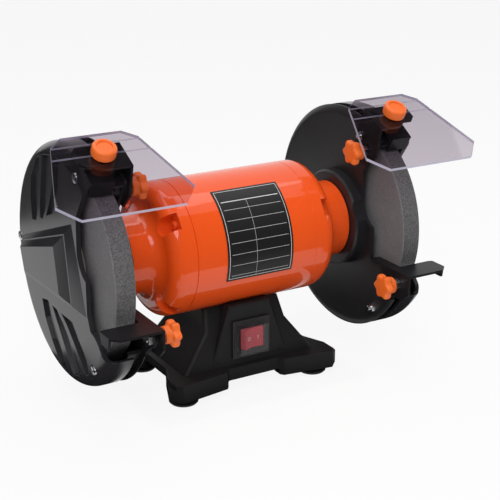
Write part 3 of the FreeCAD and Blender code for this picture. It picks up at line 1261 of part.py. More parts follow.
rest_slot = block("rest_slot", rest_in - d.cut_past, sheet_face + d.cut_past, rest_stud_y - stud_fit,
                  rest_stud_y + d.rest_travel + stud_fit, d.spindle_height + rest_stud_z - stud_fit,
                  d.spindle_height + rest_stud_z + stud_fit)
rest_solid = fuse("rest_solid", [rest_plate, rest_flange, rest_flap])
both("tool_rest", cut("right_tool_rest", rest_solid, [rest_slot]))

# Base
plinth_top = d.foot_high + d.plinth_high
plate_low = d.foot_high + d.waist_lift
plate_top = plate_low + d.plate_thick
tower = loft("base_tower", [
    (plinth_top - d.tower_sink, d.skirt_x, d.skirt_y, d.tower_round),
    (d.spindle_height - d.tower_bend, d.tower_bend_x, d.tower_bend_y, d.tower_round),
    (d.spindle_height - d.tower_top, d.tower_top_x, d.tower_top_y, d.tower_round)])
block_inner = d.bar_half + d.block_slope
block_reach = d.plinth_y + d.block_flare
block_back = block_reach - d.plinth_chamfer - d.block_side
quarter = [(d.bar_half, d.bar_y), (block_inner, d.plinth_y), (d.plinth_x - d.plinth_chamfer, block_reach),
           (d.plinth_x, block_reach - d.plinth_chamfer), (d.plinth_x, block_back),
           (d.waist_half, d.waist_reach)]
plinth = prism("base_plinth", "z",
               [(x, -y) for x, y in quarter] + list(reversed(quarter))
               + [(-x, y) for x, y in quarter] + [(-x, -y) for x, y in reversed(quarter)],
               d.foot_high, d.plinth_high)
panel = new_body("base_panel")
panel_pad = pad_on(panel, "y", -d.panel_y, d.panel_y - d.panel_root, [
    (-d.panel_foot_half, plinth_top + d.panel_foot), (d.panel_foot_half, plinth_top + d.panel_foot),
    (d.panel_top_half, d.spindle_height - d.panel_top), (-d.panel_top_half, d.spindle_height - d.panel_top)])
doc.recompute()
front_edges = []
for index, edge in enumerate(panel_pad.Shape.Edges, start=1):
    if max(abs(vertex.Y + d.panel_y.value) for vertex in edge.Vertexes) < 0.01:
        front_edges.append("Edge%d" % index)
panel_edge = panel.newObject("PartDesign::Chamfer", "base_panel_edge")
panel_edge.Base = (panel_pad, front_edges)
bind(panel_edge, "Size", d.panel_bevel)
gland_z = plinth_top + d.gland_lift
rear_pad = block("rear_pad", -d.rear_pad_half, d.rear_pad_half, d.rear_pad_root, d.rear_pad_y,
                 plinth_top - d.tower_sink, gland_z + d.rear_pad_rise)
roof_z = d.spindle_height - d.barrel_radius - d.saddle_gap - d.roof_thick
cavity = loft("base_cavity", [
    (plate_top - d.cut_past, d.plate_x - d.plate_rim, d.plate_y - d.plate_rim, d.tower_round),
    (d.spindle_height - d.tower_bend - d.cavity_drop, d.tower_bend_x - d.base_wall,
     d.tower_bend_y - d.base_wall, d.tower_round),
    (roof_z, d.tower_bend_x - d.base_wall - d.roof_in_x, d.tower_bend_y - d.base_wall - d.roof_in_y,
     d.tower_round)])
saddle = rod("base_saddle", "x", d.barrel_radius + d.saddle_gap, d.plinth_x * 2, -d.plinth_x, 0,
             d.spindle_height)
rebate_x = d.plate_x + d.plate_gap
rebate_y = d.plate_y + d.plate_gap
rebate = block("base_rebate", -rebate_x, rebate_x, -rebate_y, rebate_y, 0, plate_top)
arch_x = d.plinth_x + d.cut_past
arch_y = d.waist_reach + d.arch_margin
side_arch = block("side_arch", -arch_x, arch_x, -arch_y, arch_y, 0, plate_low)
mouth_x = d.bar_half + d.arch_side
mouth_y = block_reach + d.cut_past
front_arch = block("front_arch", -mouth_x, mouth_x, -mouth_y, mouth_y, 0, d.foot_high + d.bar_lift)
end_steps = []
step_in = d.plinth_x - d.plinth_step
for side, low_x, high_x in (("right", step_in, arch_x), ("left", -arch_x, -step_in)):
    end_steps.append(block("end_step_" + side, low_x, high_x, -mouth_y, mouth_y,
                           plinth_top - d.plinth_step_high, plinth_top + d.cut_past))
base_shell = cut("base_shell", fuse("base_solid", [tower, plinth, panel, rear_pad]),
                 [cavity, saddle, rebate, side_arch, front_arch] + end_steps)
boss_x = d.plate_x - d.plate_rim - d.plate_boss + d.boss_bite
boss_y = d.plate_y - d.plate_rim - d.plate_boss + d.boss_bite
boss_top = d.spindle_height - d.tower_bend - d.boss_short
CORNERS = ((1, 1), (1, -1), (-1, 1), (-1, -1))
bosses = []
base_holes = []
feet = []
plate_screws = []
for number, (side, end) in enumerate(CORNERS):
    bosses.append(rod("plate_boss_%d" % number, "z", d.plate_boss, boss_top - plate_top,
                      boss_x * side, boss_y * end, plate_top))
    base_holes.append(rod("plate_hole_%d" % number, "z", d.plate_screw + d.seat_gap,
                          d.plate_screw_long + d.cut_past, boss_x * side, boss_y * end, plate_low))
    base_holes.append(rod("neck_pocket_%d" % number, "z", d.foot_neck + d.seat_gap,
                          d.foot_neck_high + d.cut_past + d.hole_gap, d.foot_x * side, d.foot_y * end,
                          d.foot_high - d.cut_past))
    base_holes.append(rod("bench_hole_%d" % number, "z", d.bolt_hole, d.bolt_deep, d.foot_x * side,
                          d.foot_y * end, d.foot_high))
    feet.append(place(spin("rubber_foot_%d" % number, [
        (d.bolt_hole, 0), (d.foot_radius - d.foot_ease, 0), (d.foot_radius - d.foot_taper, d.foot_bevel),
        (d.foot_radius, d.foot_high),
        (d.foot_neck, d.foot_high), (d.foot_neck, d.foot_high + d.foot_neck_high),
        (d.bolt_hole, d.foot_high + d.foot_neck_high)], upright=True), d.foot_x * side, d.foot_y * end, 0))
    plate_screws.append(place(spin("plate_screw_%d" % number, [
        (0, plate_low - d.plate_head), (d.plate_screw * 2 - d.plate_head_bevel, plate_low - d.plate_head),
        (d.plate_screw * 2, plate_low - d.plate_head + d.plate_head_bevel),
        (d.plate_screw * 2, plate_low), (d.plate_screw, plate_low),
        (d.plate_screw, plate_low + d.plate_screw_long), (0, plate_low + d.plate_screw_long)], upright=True),
        boss_x * side, boss_y * end, 0))
mount_screws = []
mount_tip = d.spindle_height - shell_in - d.mount_skin - d.hole_gap
for side in (1, -1):
    base_holes.append(rod("roof_hole_%d" % (side + 1), "z", d.mount_screw + d.hole_gap,
                          d.roof_thick + d.barrel_wall, d.mount_screw_x * side, 0, roof_z - d.cut_past))
    mount_screws.append(place(spin("mount_screw_%d" % (side + 1), [
        (0, roof_z - d.mount_head_high), (d.mount_head, roof_z - d.mount_head_high), (d.mount_head, roof_z),
        (d.mount_screw, roof_z), (d.mount_screw, mount_tip), (0, mount_tip)], upright=True),
        d.mount_screw_x * side, 0, 0))
switch_z = plinth_top + d.switch_lift
base_holes.append(block("switch_opening", -d.switch_x - d.hole_gap, d.switch_x + d.hole_gap,
                        -d.panel_y - d.cut_past, -d.panel_y + d.switch_deep,
                        switch_z - d.switch_z - d.hole_gap, switch_z + d.switch_z + d.hole_gap))
base_holes.append(rod("gland_hole", "y", d.gland_body + d.seat_gap, d.rear_pad_y - d.panel_root, 0,
                      d.panel_root + d.cut_past, gland_z))
keep("base_pedestal", cut("base_pedestal", fuse("base_bossed", [base_shell] + bosses), base_holes))
keep("rubber_feet", group("rubber_feet", feet))
keep("bottom_plate_screws", group("bottom_plate_screws", plate_screws))
keep("motor_mount_screws", group("motor_mount_screws", mount_screws))
keep("base_bottom_plate", prism("base_bottom_plate", "z", rounded(d.plate_x, d.plate_y, d.plate_round),
                                plate_low, d.plate_thick, [
                                    (boss_x * side, boss_y * end, d.plate_screw + d.hole_gap)
                                    for side, end in CORNERS]))
keep("cord_gland", cut("cord_gland", fuse("gland_solid", [
    rod("gland_flange", "y", d.gland_flange, d.gland_lip, 0, d.rear_pad_y, gland_z),
    rod("gland_body", "y", d.gland_body, d.gland_long + d.gland_lip / 2, 0, d.rear_pad_y - d.gland_long,
        gland_z)]),
    [rod("gland_bore", "y", d.gland_bore, d.gland_long + d.gland_lip + d.cut_past * 2, 0,
         d.rear_pad_y - d.gland_long - d.cut_past, gland_z)]))

# Switch and capacitor
bezel_face = -d.panel_y - d.bezel_thick
pin_y = bezel_face + d.rocker_deep
well_x = d.rocker_x + d.rocker_gap
well_z = d.rocker_z + d.rocker_gap
pin_half = d.rocker_z + d.rocker_pin_long
switch_solid = fuse("switch_solid", [
    block("switch_case", -d.switch_x, d.switch_x, -d.panel_y - d.bezel_thick / 2, -d.panel_y + d.switch_deep,
          switch_z - d.switch_z, switch_z + d.switch_z),
    block("switch_bezel", -d.bezel_x, d.bezel_x, bezel_face, -d.panel_y, switch_z - d.bezel_z,
          switch_z + d.bezel_z)])
keep("switch_body", cut("switch_body", switch_solid, [
    block("switch_well", -well_x, well_x, bezel_face - d.cut_past, pin_y + d.well_deep, switch_z - well_z,
          switch_z + well_z),
    rod("pin_hole", "z", d.rocker_pin + d.running_gap, (pin_half + d.hole_gap) * 2, 0, pin_y,
        switch_z - pin_half - d.hole_gap)]))
rocker_front = -d.rocker_deep - d.rocker_proud
rocker = prism("rocker_cap", "z", [
    (d.rocker_bevel - d.rocker_x, rocker_front), (0, rocker_front + d.rocker_dip),
    (d.rocker_x - d.rocker_bevel, rocker_front), (d.rocker_x, -d.rocker_side),
    (d.rocker_heel_half, d.rocker_heel), (-d.rocker_heel_half, d.rocker_heel),
    (-d.rocker_x, -d.rocker_side)], -d.rocker_z, d.rocker_z * 2)
place(rocker, 0, pin_y, switch_z, (0, 0, 1), d.rocker_swing)
keep("switch_rocker", fuse("switch_rocker", [
    rocker, rod("rocker_pin_rod", "z", d.rocker_pin, pin_half * 2, 0, pin_y, switch_z - pin_half)]))
hood_face = bezel_face - d.hood_deep
hood_room_x = d.hood_x - d.hood_wall
hood_room_z = d.hood_z - d.hood_wall
hood_outer = block("hood_outer", -d.hood_x, d.hood_x, hood_face, bezel_face, switch_z - d.hood_z,
                   switch_z + d.hood_z)
hood_inner = block("hood_inner", -hood_room_x, hood_room_x, hood_face + d.hood_wall, bezel_face + d.cut_past,
                   switch_z - hood_room_z, switch_z + hood_room_z)
keep("switch_hood", cut("switch_hood", hood_outer, [hood_inner]))
cap_z = plate_top + d.cap_lift + d.cap_radius
keep("capacitor", rod("capacitor", "x", d.cap_radius, d.cap_half * 2, -d.cap_half, d.cap_y, cap_z))
cradle_y = d.cap_radius + d.cradle_wall
cradle_block = block("cradle_block", -d.cradle_half, d.cradle_half, d.cap_y - cradle_y, d.cap_y + cradle_y,
                     plate_top, plate_top + d.cradle_high)
cradle_bed = rod("cradle_bed", "x", d.cap_radius + d.seat_gap, d.cap_half * 2, -d.cap_half, d.cap_y, cap_z)
keep("capacitor_cradle", cut("capacitor_cradle", cradle_block, [cradle_bed]))

# Every object must be sound before its piece is written
doc.recompute()
faults = []
for thing in doc.Objects:
    state = " ".join(thing.State)
    if "Invalid" in state or "Error" in state:
        faults.append("%s: %s" % (thing.Label, state))
for thing in nodes:
    if thing.Shape.isNull() or not thing.Shape.isValid() or not thing.Shape.Solids:
        faults.append("%s has no sound solid" % thing.Label)
if faults:
    raise RuntimeError("; ".join(faults))
os.makedirs("parts", exist_ok=True)
for thing in nodes:
    thing.Shape.exportStep("parts/%s.step" % thing.Label)
print(len(nodes), "pieces written")
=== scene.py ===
"""Finishes, soft mouldings, screws, marks, light and camera for a bench grinder."""

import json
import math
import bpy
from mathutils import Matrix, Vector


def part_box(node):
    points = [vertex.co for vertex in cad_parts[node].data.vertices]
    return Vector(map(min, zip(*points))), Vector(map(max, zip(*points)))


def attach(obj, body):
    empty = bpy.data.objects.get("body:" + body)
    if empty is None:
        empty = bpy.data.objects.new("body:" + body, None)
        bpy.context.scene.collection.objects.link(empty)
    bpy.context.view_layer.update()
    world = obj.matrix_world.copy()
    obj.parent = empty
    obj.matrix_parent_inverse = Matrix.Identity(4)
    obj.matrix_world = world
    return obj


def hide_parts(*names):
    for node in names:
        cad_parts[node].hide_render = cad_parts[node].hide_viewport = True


bl_info = {
    "name": "Bench grinder looks",
    "version": (1, 0, 0),
    "blender": (4, 5, 0),
    "location": "View3D > Sidebar > Grinder",
    "description": "Finishes and fine pieces round the fixed frame of a bench grinder",
    "category": "Object",
}

import bmesh
import bpy
from mathutils import Matrix, Vector

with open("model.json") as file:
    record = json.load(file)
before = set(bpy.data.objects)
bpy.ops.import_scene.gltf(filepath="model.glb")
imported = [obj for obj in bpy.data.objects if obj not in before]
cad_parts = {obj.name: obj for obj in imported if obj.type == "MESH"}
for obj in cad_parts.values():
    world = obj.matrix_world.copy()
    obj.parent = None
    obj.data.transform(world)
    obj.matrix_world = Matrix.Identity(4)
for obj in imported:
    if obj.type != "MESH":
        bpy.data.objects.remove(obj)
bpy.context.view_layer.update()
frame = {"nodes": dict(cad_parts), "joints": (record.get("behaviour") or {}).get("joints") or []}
JOINTS = {joint["name"]: joint for joint in frame["joints"]}
SIDES = ("left", "right")
MM = 0.001
SPINDLE_Z = JOINTS["rotor_spin"]["pos_m"][2]
WHITE = (1, 1, 1)
# Rays that round the edges of a surface, and the share that a clear face mirrors head on
EDGE_SAMPLES = 6
FACE_ON_MIRROR = 0.04
# Gap that counts as closed when the solids of a node are told apart
SEAM = 0.01 * MM
# Gap closed, and angles of faces made one and of edges made round, when a node is softened
WELD_GAP = 0.005 * MM
FLAT_ANGLE = math.radians(0.4)
SHARP_ANGLE = math.radians(32)
# Angle above which the edges of a screw stay crisp
CRISP_ANGLE = math.radians(40)
# Levels of a cross recess: shares of the head's height, the head's radius and the recess's width
CROSS_LEVELS = ((0.35, 0.25, 0.3), (1.0, 0.58, 0.5), (1.6, 0.62, 0.55))
SCREW_SHANK = 2.5 * MM
# Turn of the first screw in degrees, and what sets the others apart
FIRST_SPIN = 23
SPIN_STEP = 31
STAR_LOBES = 6
STAR_DIP = 3.0 * MM
# Slope of the rocker's two faces, and the place of a mark from the rocker's axis
ROCKER_TILT = math.atan2(2.6, 11.2)
MARK_SIDE = 5.6 * MM
MARK_FRONT = 8.72 * MM
# Shares of the background that show behind a clear sheet, and of the floor's own glow
WORLD_BEHIND_SHEET = 0.42
FLOOR_BEHIND_SHEET = 0.3
FLOOR_GLOW = 0.9
LIGHTS_AIM = Vector((0, 0, 0.14))
SENSOR_WIDTH = 36
# Mouldings that keep their own colour: tone, roughness and, for some, grain
MOULDINGS = {
    "rubber_foot": ((0.013, 0.013, 0.013), 0.72, 900.0),
    "paper_ring": ((0.55, 0.50, 0.40), 0.8, 700.0),
    "gland_moulding": ((0.014, 0.014, 0.014), 0.45),
    "inner_moulding": ((0.016, 0.016, 0.016), 0.5),
    "can_moulding": ((0.72, 0.72, 0.69), 0.35),
    "switch_moulding": ((0.012, 0.012, 0.012), 0.4),
}
# The label plate's upper edge above the front of the barrel, and its span round the barrel
LABEL_TOP = math.radians(61.5)
LABEL_SPAN = math.radians(81)


# Properties that a user would change

def colour_property(name, description, default):
    """A colour of three channels."""
    return bpy.props.FloatVectorProperty(
        name=name, description=description, subtype="COLOR", size=3, min=0, max=1, default=default)


def length_property(name, description, default):
    """A small length in metres."""
    return bpy.props.FloatProperty(
        name=name, description=description, unit="LENGTH", min=0, precision=5, default=default)


def power_property(name, default):
    """The power of one light."""
    return bpy.props.FloatProperty(
        name=name, description="Power of the %s light" % name.lower(), unit="POWER", default=default)


class GrinderPaint(bpy.types.PropertyGroup):
    """Colours of the finishes."""

    enamel: colour_property("Enamel", "Gloss enamel of the motor", (0.88, 0.097, 0.011))
    enamel_deep: colour_property("Enamel, deep", "Darker drift in the enamel", (0.80, 0.081, 0.008))
    knob: colour_property("Knob", "Moulded knobs", (0.93, 0.165, 0.02))
    satin: colour_property("Satin black", "Coating of the guards", (0.0175, 0.0165, 0.0188))
    moulding: colour_property("Base black", "Grained moulding of the base", (0.0085, 0.008, 0.0088))
    grit: colour_property("Grit", "Middle tone of the wheels", (0.120, 0.117, 0.119))
    zinc: colour_property("Zinc", "Bright plating of screws and studs", (0.72, 0.73, 0.75))
    steel: colour_property("Steel", "Turned steel", (0.50, 0.50, 0.51))
    copper: colour_property("Copper", "Lacquered winding wire", (0.48, 0.17, 0.05))
    clear: colour_property("Clear sheet", "Tint of each face of the eye shields", (0.90, 0.855, 0.90))
    edge: colour_property("Sheet edge", "Cut edge of the eye shields", (0.55, 0.52, 0.67))
    film: colour_property("Hood film", "Haze of the clear hood", (0.60, 0.58, 0.60))
    rocker: colour_property("Rocker", "Red of the switch", (0.52, 0.033, 0.048))
    label: colour_property("Label", "Foil of the label plate", (0.010, 0.010, 0.011))
    print_tone: colour_property("Print", "Pale print on label and rocker", (0.62, 0.61, 0.60))


class GrinderEdges(bpy.types.PropertyGroup):
    """Edge radii of the pieces, and sizes of fine detail."""

    guard: length_property("Guard edges", "Edge radius of covers and dishes", 0.9 * MM)
    sheet: length_property("Sheet edges", "Edge radius of bent sheet", 0.35 * MM)
    base: length_property("Base edges", "Edge radius of the base moulding", 0.8 * MM)
    bell: length_property("Bell edges", "Edge radius of the end bells", 0.7 * MM)
    hood: length_property("Hood edges", "Edge radius of the clear hood", 2.2 * MM)
    switch: length_property("Switch edges", "Edge radius of bezel and rocker", 0.5 * MM)
    recess: length_property("Cross recess", "Width of the cross in a screw head", 1.1 * MM)


class GrinderStage(bpy.types.PropertyGroup):
    """Camera and light."""

    azimuth: bpy.props.FloatProperty(
        name="Azimuth", description="Camera turn about the upright axis", subtype="ANGLE",
        default=math.radians(-30.38))
    elevation: bpy.props.FloatProperty(
        name="Elevation", description="Camera angle above the floor", subtype="ANGLE",
        default=math.radians(19.06))
    place: bpy.props.FloatVectorProperty(
        name="Camera place", description="Camera place in the bench frame", subtype="XYZ", unit="LENGTH",
        default=(-0.5798, -1.0371, 0.5413))
    lens: bpy.props.FloatProperty(
        name="Lens", description="Focal length in millimetres", min=1, default=89.57)
    ambient: bpy.props.FloatProperty(
        name="Ambient", description="Light from all round", min=0, default=0.31)
    key: power_property("Key", 23)
    top: power_property("Top", 10)
    side: power_property("Side", 4)


# Shader nodes written as expressions

class Value:
    """One output socket; arithmetic on it adds Math nodes."""

    def __init__(self, finish, socket):
        self.finish = finish
        self.socket = socket

    def math(self, operation, *others):
        inputs = dict(enumerate((self, *others)))
        return self.finish.node("ShaderNodeMath", {"operation": operation}, inputs)

    def flipped(self, operation, other):
        """The same with this value second."""
        return self.finish.node("ShaderNodeMath", {"operation": operation}, {0: other, 1: self})

    def __add__(self, other):
        return self.math("ADD", other)

    def __radd__(self, other):
        return self.flipped("ADD", other)

    def __sub__(self, other):
        return self.math("SUBTRACT", other)

    def __rsub__(self, other):
        return self.flipped("SUBTRACT", other)

    def __mul__(self, other):
        return self.math("MULTIPLY", other)

    def __mod__(self, other):
        return self.math("FLOORED_MODULO", other)

    def __gt__(self, other):
        return self.math("GREATER_THAN", other)

    def __lt__(self, other):
        return self.math("LESS_THAN", other)

    def __abs__(self):
        return self.math("ABSOLUTE")

    def least(self, other):
        return self.math("MINIMUM", other)

    def most(self, other):
        return self.math("MAXIMUM", other)

    def held(self):
        """The value kept between nought and one."""
        return self.least(1.0).most(0.0)


class Finish:
    """Builds the nodes of one material, or of the world."""

    def __init__(self, name, owner=None):
        self.owner = owner or bpy.data.materials.new(name)
        self.owner.use_nodes = True
        self.tree = self.owner.node_tree
        self.tree.nodes.clear()

    def node(self, kind, settings=None, values=None, output=0):
        """Adds a node: its settings first, then the values or links of its sockets."""
        added = self.tree.nodes.new(kind)
        for key, value in (settings or {}).items():
            setattr(added, key, value)
        for key, value in (values or {}).items():
            socket = added.inputs[key]
            if isinstance(value, Value):
                self.tree.links.new(value.socket, socket)
            else:
                socket.default_value = (*value, 1) if socket.type == "RGBA" else value
        return None if output is None else Value(self, added.outputs[output])

    def place(self):
        """The point on the surface, in the bench frame at rest."""
        return self.node("ShaderNodeTexCoord", output="Object")

    def parts(self, vector):
        """The three numbers of a vector."""
        split = self.node("ShaderNodeSeparateXYZ", values={0: vector}).socket.node
        return [Value(self, socket) for socket in split.outputs]

    def round_spindle(self):
        """The place along the spindle, and the distance from its axis."""
        x, y, z = self.parts(self.place())
        up = z - SPINDLE_Z
        return x, (y * y + up * up).math("SQRT")

    def noise(self, where, scale, detail=2.0, roughness=0.5):
        """A soft random tone."""
        return self.node("ShaderNodeTexNoise", {"noise_dimensions": "3D"}, {
            "Vector": where, "Scale": scale, "Detail": detail, "Roughness": roughness})

    def cells(self, where, scale):
        """A random colour for each grain."""
        return self.node(
            "ShaderNodeTexVoronoi", {"feature": "F1"}, {"Vector": where, "Scale": scale}, "Color")

    def mix(self, share, first, second):
        """A colour between two colours, by the colour sockets of a Mix node."""
        return self.node("ShaderNodeMix", {"data_type": "RGBA"}, {0: share, 6: first, 7: second}, 2)

    def bump(self, height, strength, distance, round_edge=0):
        """A normal from a height; round_edge also softens the edges of the piece by that radius."""
        values = {"Strength": strength, "Distance": distance, "Height": height}
        if round_edge:
            values["Normal"] = self.node(
                "ShaderNodeBevel", {"samples": EDGE_SAMPLES}, {"Radius": round_edge})
        return self.node("ShaderNodeBump", values=values)

    def surface(self, values):
        """A principled surface with the given sockets."""
        return self.node("ShaderNodeBsdfPrincipled", values=values)

    def blend(self, share, first, second):
        """A mixture of two shaders."""
        return self.node("ShaderNodeMixShader", values={0: share, 1: first, 2: second})

    def mirror(self):
        """The share of light that a clear face throws back, the same from both of its sides."""
        facing = self.node("ShaderNodeLayerWeight", values={"Blend": 0.5}, output="Facing")
        return facing.math("POWER", 5.0) * (1 - FACE_ON_MIRROR) + FACE_ON_MIRROR

    def done(self, shader, output="ShaderNodeOutputMaterial"):
        """The material or world, with the shader on its output."""
        self.node(output, values={"Surface": shader}, output=None)
        return self.owner


# Finishes

def shade(tone, share):
    """A darker or paler tone of a colour."""
    return tuple(min(1, channel * share) for channel in tone)


def gloss_enamel(paint):
    """Sprayed enamel: a slow drift of tone, orange peel and a clear gloss."""
    f = Finish("gloss_enamel")
    where = f.place()
    drift = f.noise(where, 14, 3)
    peel = f.noise(where, 520, 2)
    fine = f.noise(where, 2600, 2)
    return f.done(f.surface({
        "Base Color": f.mix(drift, paint.enamel_deep, paint.enamel),
        "Roughness": 0.34 + fine * 0.1, "Specular IOR Level": 0.1, "Coat Weight": 0.8,
        "Coat Roughness": 0.05, "Normal": f.bump(peel + fine * 0.3, 0.05, 0.0004)}))


def satin_black(paint, name, roughness, gloss, grain, round_edge=0, tone_share=1.0):
    """A satin coating with a fine pebble; the last argument scales its colour down, which on the dish is
    painted shade.
    """
    f = Finish(name)
    where = f.place()
    pebble = f.noise(where, grain, 3)
    drift = f.noise(where, 20, 3)
    tone = shade(paint.satin, tone_share)
    return f.done(f.surface({
        "Base Color": f.mix(drift, tone, shade(tone, 1.5)),
        "Roughness": roughness - 0.05 + drift * 0.1, "Specular IOR Level": gloss,
        "Normal": f.bump(pebble, 0.06, 0.0003, round_edge)}))


def base_moulding(paint):
    """A dull grained moulding."""
    f = Finish("base_moulding")
    where = f.place()
    grain = f.noise(where, 1700, 4, 0.65)
    drift = f.noise(where, 25, 3)
    return f.done(f.surface({
        "Base Color": f.mix(drift * 0.7 + grain * 0.3, paint.moulding, shade(paint.moulding, 1.6)),
        "Roughness": 0.5 + grain * 0.12, "Specular IOR Level": 0.24, "Normal": f.bump(grain, 0.2, 0.0003)}))


def vitrified_grit(paint):
    """Bonded grains, each with its own tone and coarser on the rim; the sides are painted paler than the
    rim, which is painted light.
    """
    f = Finish("vitrified_grit")
    where = f.place()
    across = abs(f.parts(f.node("ShaderNodeNewGeometry", output="Normal"))[0])
    side = ((across - 0.6) * 8).held()
    coarse = f.parts(f.cells(where, 1150))[0]
    fine = f.parts(f.cells(where, 2600))[1]
    cloud = f.noise(where, 45, 4, 0.6)
    grain = side * (fine * 0.65 + coarse * 0.35) + (1 - side) * (coarse * 0.7 + fine * 0.3)
    # Grain and cloud are the grit's own tone; the side share is painted light that makes the sides paler
    # than the rim.
    lift = (grain * 0.7 + cloud * 0.25 + side * 0.36 - 0.08).held()
    return f.done(f.surface({
        "Base Color": f.mix(lift, shade(paint.grit, 0.4), shade(paint.grit, 1.9)),
        "Roughness": 0.78 + fine * 0.15, "Specular IOR Level": 0.3,
        "Normal": f.bump(coarse * 0.6 + fine * 0.4, 0.55, 0.0005)}))


def bright_zinc(paint):
    """Bright plating with a faint cloud."""
    f = Finish("bright_zinc")
    cloud = f.noise(f.place(), 260, 3)
    return f.done(f.surface({
        "Base Color": f.mix(cloud, shade(paint.zinc, 0.72), paint.zinc), "Metallic": 1.0,
        "Roughness": 0.2 + cloud * 0.16, "Normal": f.bump(cloud, 0.05, 0.0002)}))


def turned_steel(paint):
    """Steel with the fine rings of a lathe tool about the spindle."""
    f = Finish("turned_steel")
    x, reach = f.round_spindle()
    rings = ((reach + x * 0.7) * 2600).math("SINE")
    cloud = f.noise(f.place(), 90, 3)
    return f.done(f.surface({
        "Base Color": f.mix(cloud, shade(paint.steel, 0.7), paint.steel), "Metallic": 1.0,
        "Roughness": 0.3 + cloud * 0.12, "Normal": f.bump(rings, 0.06, 0.0001)}))


def laminated_core(paint):
    """Stacked sheets: fine lines along the spindle."""
    f = Finish("laminated_core")
    x = f.parts(f.place())[0]
    sheets = (x * 12500).math("SINE")
    cloud = f.noise(f.place(), 60, 3)
    tone = shade(paint.steel, 0.5)
    return f.done(f.surface({
        "Base Color": f.mix(cloud * 0.6 + sheets * 0.2 + 0.2, shade(tone, 0.6), tone), "Metallic": 0.9,
        "Roughness": 0.45 + cloud * 0.1, "Normal": f.bump(sheets, 0.2, 0.0002)}))


def wound_copper(paint):
    """Lacquered turns laid round the end ring."""
    f = Finish("wound_copper")
    x, reach = f.round_spindle()
    turns = ((reach + x) * 5200).math("SINE")
    cloud = f.noise(f.place(), 80, 3)
    return f.done(f.surface({
        "Base Color": f.mix(turns * 0.3 + cloud * 0.6, shade(paint.copper, 0.55), paint.copper),
        "Metallic": 0.7, "Roughness": 0.3 + cloud * 0.1, "Coat Weight": 0.4,
        "Normal": f.bump(turns, 0.4, 0.0004)}))


def moulded_knob(paint):
    """Plain moulded plastic with a soft sheen."""
    f = Finish("moulded_knob")
    where = f.place()
    drift = f.noise(where, 60, 3)
    fine = f.noise(where, 1800, 2)
    return f.done(f.surface({
        "Base Color": f.mix(drift, shade(paint.knob, 0.86), paint.knob), "Roughness": 0.36 + fine * 0.1,
        "Specular IOR Level": 0.42, "Normal": f.bump(fine, 0.06, 0.0002)}))


def plain_moulding(name, tone, roughness, grain=1500.0):
    """A small moulding with a fine texture."""
    f = Finish(name)
    where = f.place()
    fine = f.noise(where, grain, 3)
    drift = f.noise(where, 50, 3)
    return f.done(f.surface({
        "Base Color": f.mix(drift, shade(tone, 0.75), tone), "Roughness": roughness + fine * 0.1,
        "Specular IOR Level": 0.4, "Normal": f.bump(fine, 0.1, 0.0002)}))


def stock_moulding(name):
    """One of the mouldings that keep their own colour."""
    return plain_moulding(name, *MOULDINGS[name])


def clear_sheet(paint):
    """Clear sheet that mirrors at its faces and glows at its cut edges."""
    f = Finish("clear_sheet")
    tilt = JOINTS["left_thumb_turn"]["axis"]
    normal = f.node("ShaderNodeTexCoord", output="Normal")
    across = f.node("ShaderNodeVectorMath", {"operation": "DOT_PRODUCT"}, {0: normal, 1: tilt}, "Value")
    cut = ((0.75 - abs(across)) * 6).held()
    through = f.node("ShaderNodeBsdfTransparent", values={"Color": paint.clear})
    haze = f.noise(f.place(), 300, 3)
    edge = f.surface({
        "Base Color": f.mix(haze, paint.edge, shade(paint.edge, 0.9)),
        "Roughness": 0.3 + haze * 0.1, "Alpha": 0.85})
    gloss = f.node("ShaderNodeBsdfGlossy", values={"Color": WHITE, "Roughness": 0.02})
    return f.done(f.blend(f.mirror(), f.blend(cut, through, edge), gloss))


def soft_clear(paint):
    """The clear hood over the rocker, a little hazy."""
    f = Finish("soft_clear")
    haze = f.noise(f.place(), 160, 3)
    through = f.node("ShaderNodeBsdfTransparent", values={"Color": (0.94, 0.93, 0.94)})
    film = f.surface({"Base Color": paint.film, "Roughness": 0.3})
    gloss = f.node("ShaderNodeBsdfGlossy", values={"Color": WHITE, "Roughness": 0.08})
    return f.done(f.blend(f.mirror() * 0.4, f.blend(haze * 0.02, through, film), gloss))


def label_print(paint):
    """Black foil with a thin border, a heading field and blank ruled rows."""
    f = Finish("label_print")
    low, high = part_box("rating_plate")
    radius = max(abs(low.y), 0.001)
    x, y, z = f.parts(f.place())
    round_place = (z - SPINDLE_Z).math("ARCTAN2", 0 - y) * radius
    top = radius * LABEL_TOP
    foot = top - radius * LABEL_SPAN
    middle_x, half_x = (low.x + high.x) / 2, (high.x - low.x) / 2
    middle_s, half_s = (top + foot) / 2, (top - foot) / 2
    off_x = abs(x - middle_x)
    off_s = abs(round_place - middle_s)
    rim = 2.2 * MM
    margin = 2.6 * MM
    line = 0.28 * MM
    inside = (half_x - rim - off_x).least(half_s - rim - off_s)
    border = abs(inside) < line
    pitch = 11.0 * MM
    head_foot = top - 1.35 * pitch
    step = abs((round_place - foot) % pitch - pitch / 2)
    ruled = (step < line * 0.8) * (inside > margin) * (round_place < top - 2.0 * pitch)
    heading = (abs(round_place - head_foot) < line * 1.6) * (inside > margin)
    divider = (abs(x - (middle_x - half_x * 0.12)) < line * 0.7) * (round_place < head_foot)
    divider = divider * (inside > 0.0) * 0.6
    ink = border.most(ruled * 0.75).most(heading).most(divider).held()
    fine = f.noise(f.place(), 1400, 2)
    return f.done(f.surface({
        "Base Color": f.mix(ink, paint.label, paint.print_tone),
        "Roughness": 0.4 + fine * 0.1, "Specular IOR Level": 0.35, "Normal": f.bump(ink, 0.1, 0.0001)}))


# Meshes

def mesh_from(maker, name):
    """Turns a bmesh into a mesh and frees it."""
    mesh = bpy.data.meshes.new(name)
    maker.to_mesh(mesh)
    maker.free()
    return mesh


def add_object(name, data):
    """Puts a mesh, a light or a camera into the scene."""
    thing = bpy.data.objects.new(name, data)
    bpy.context.scene.collection.objects.link(thing)
    return thing


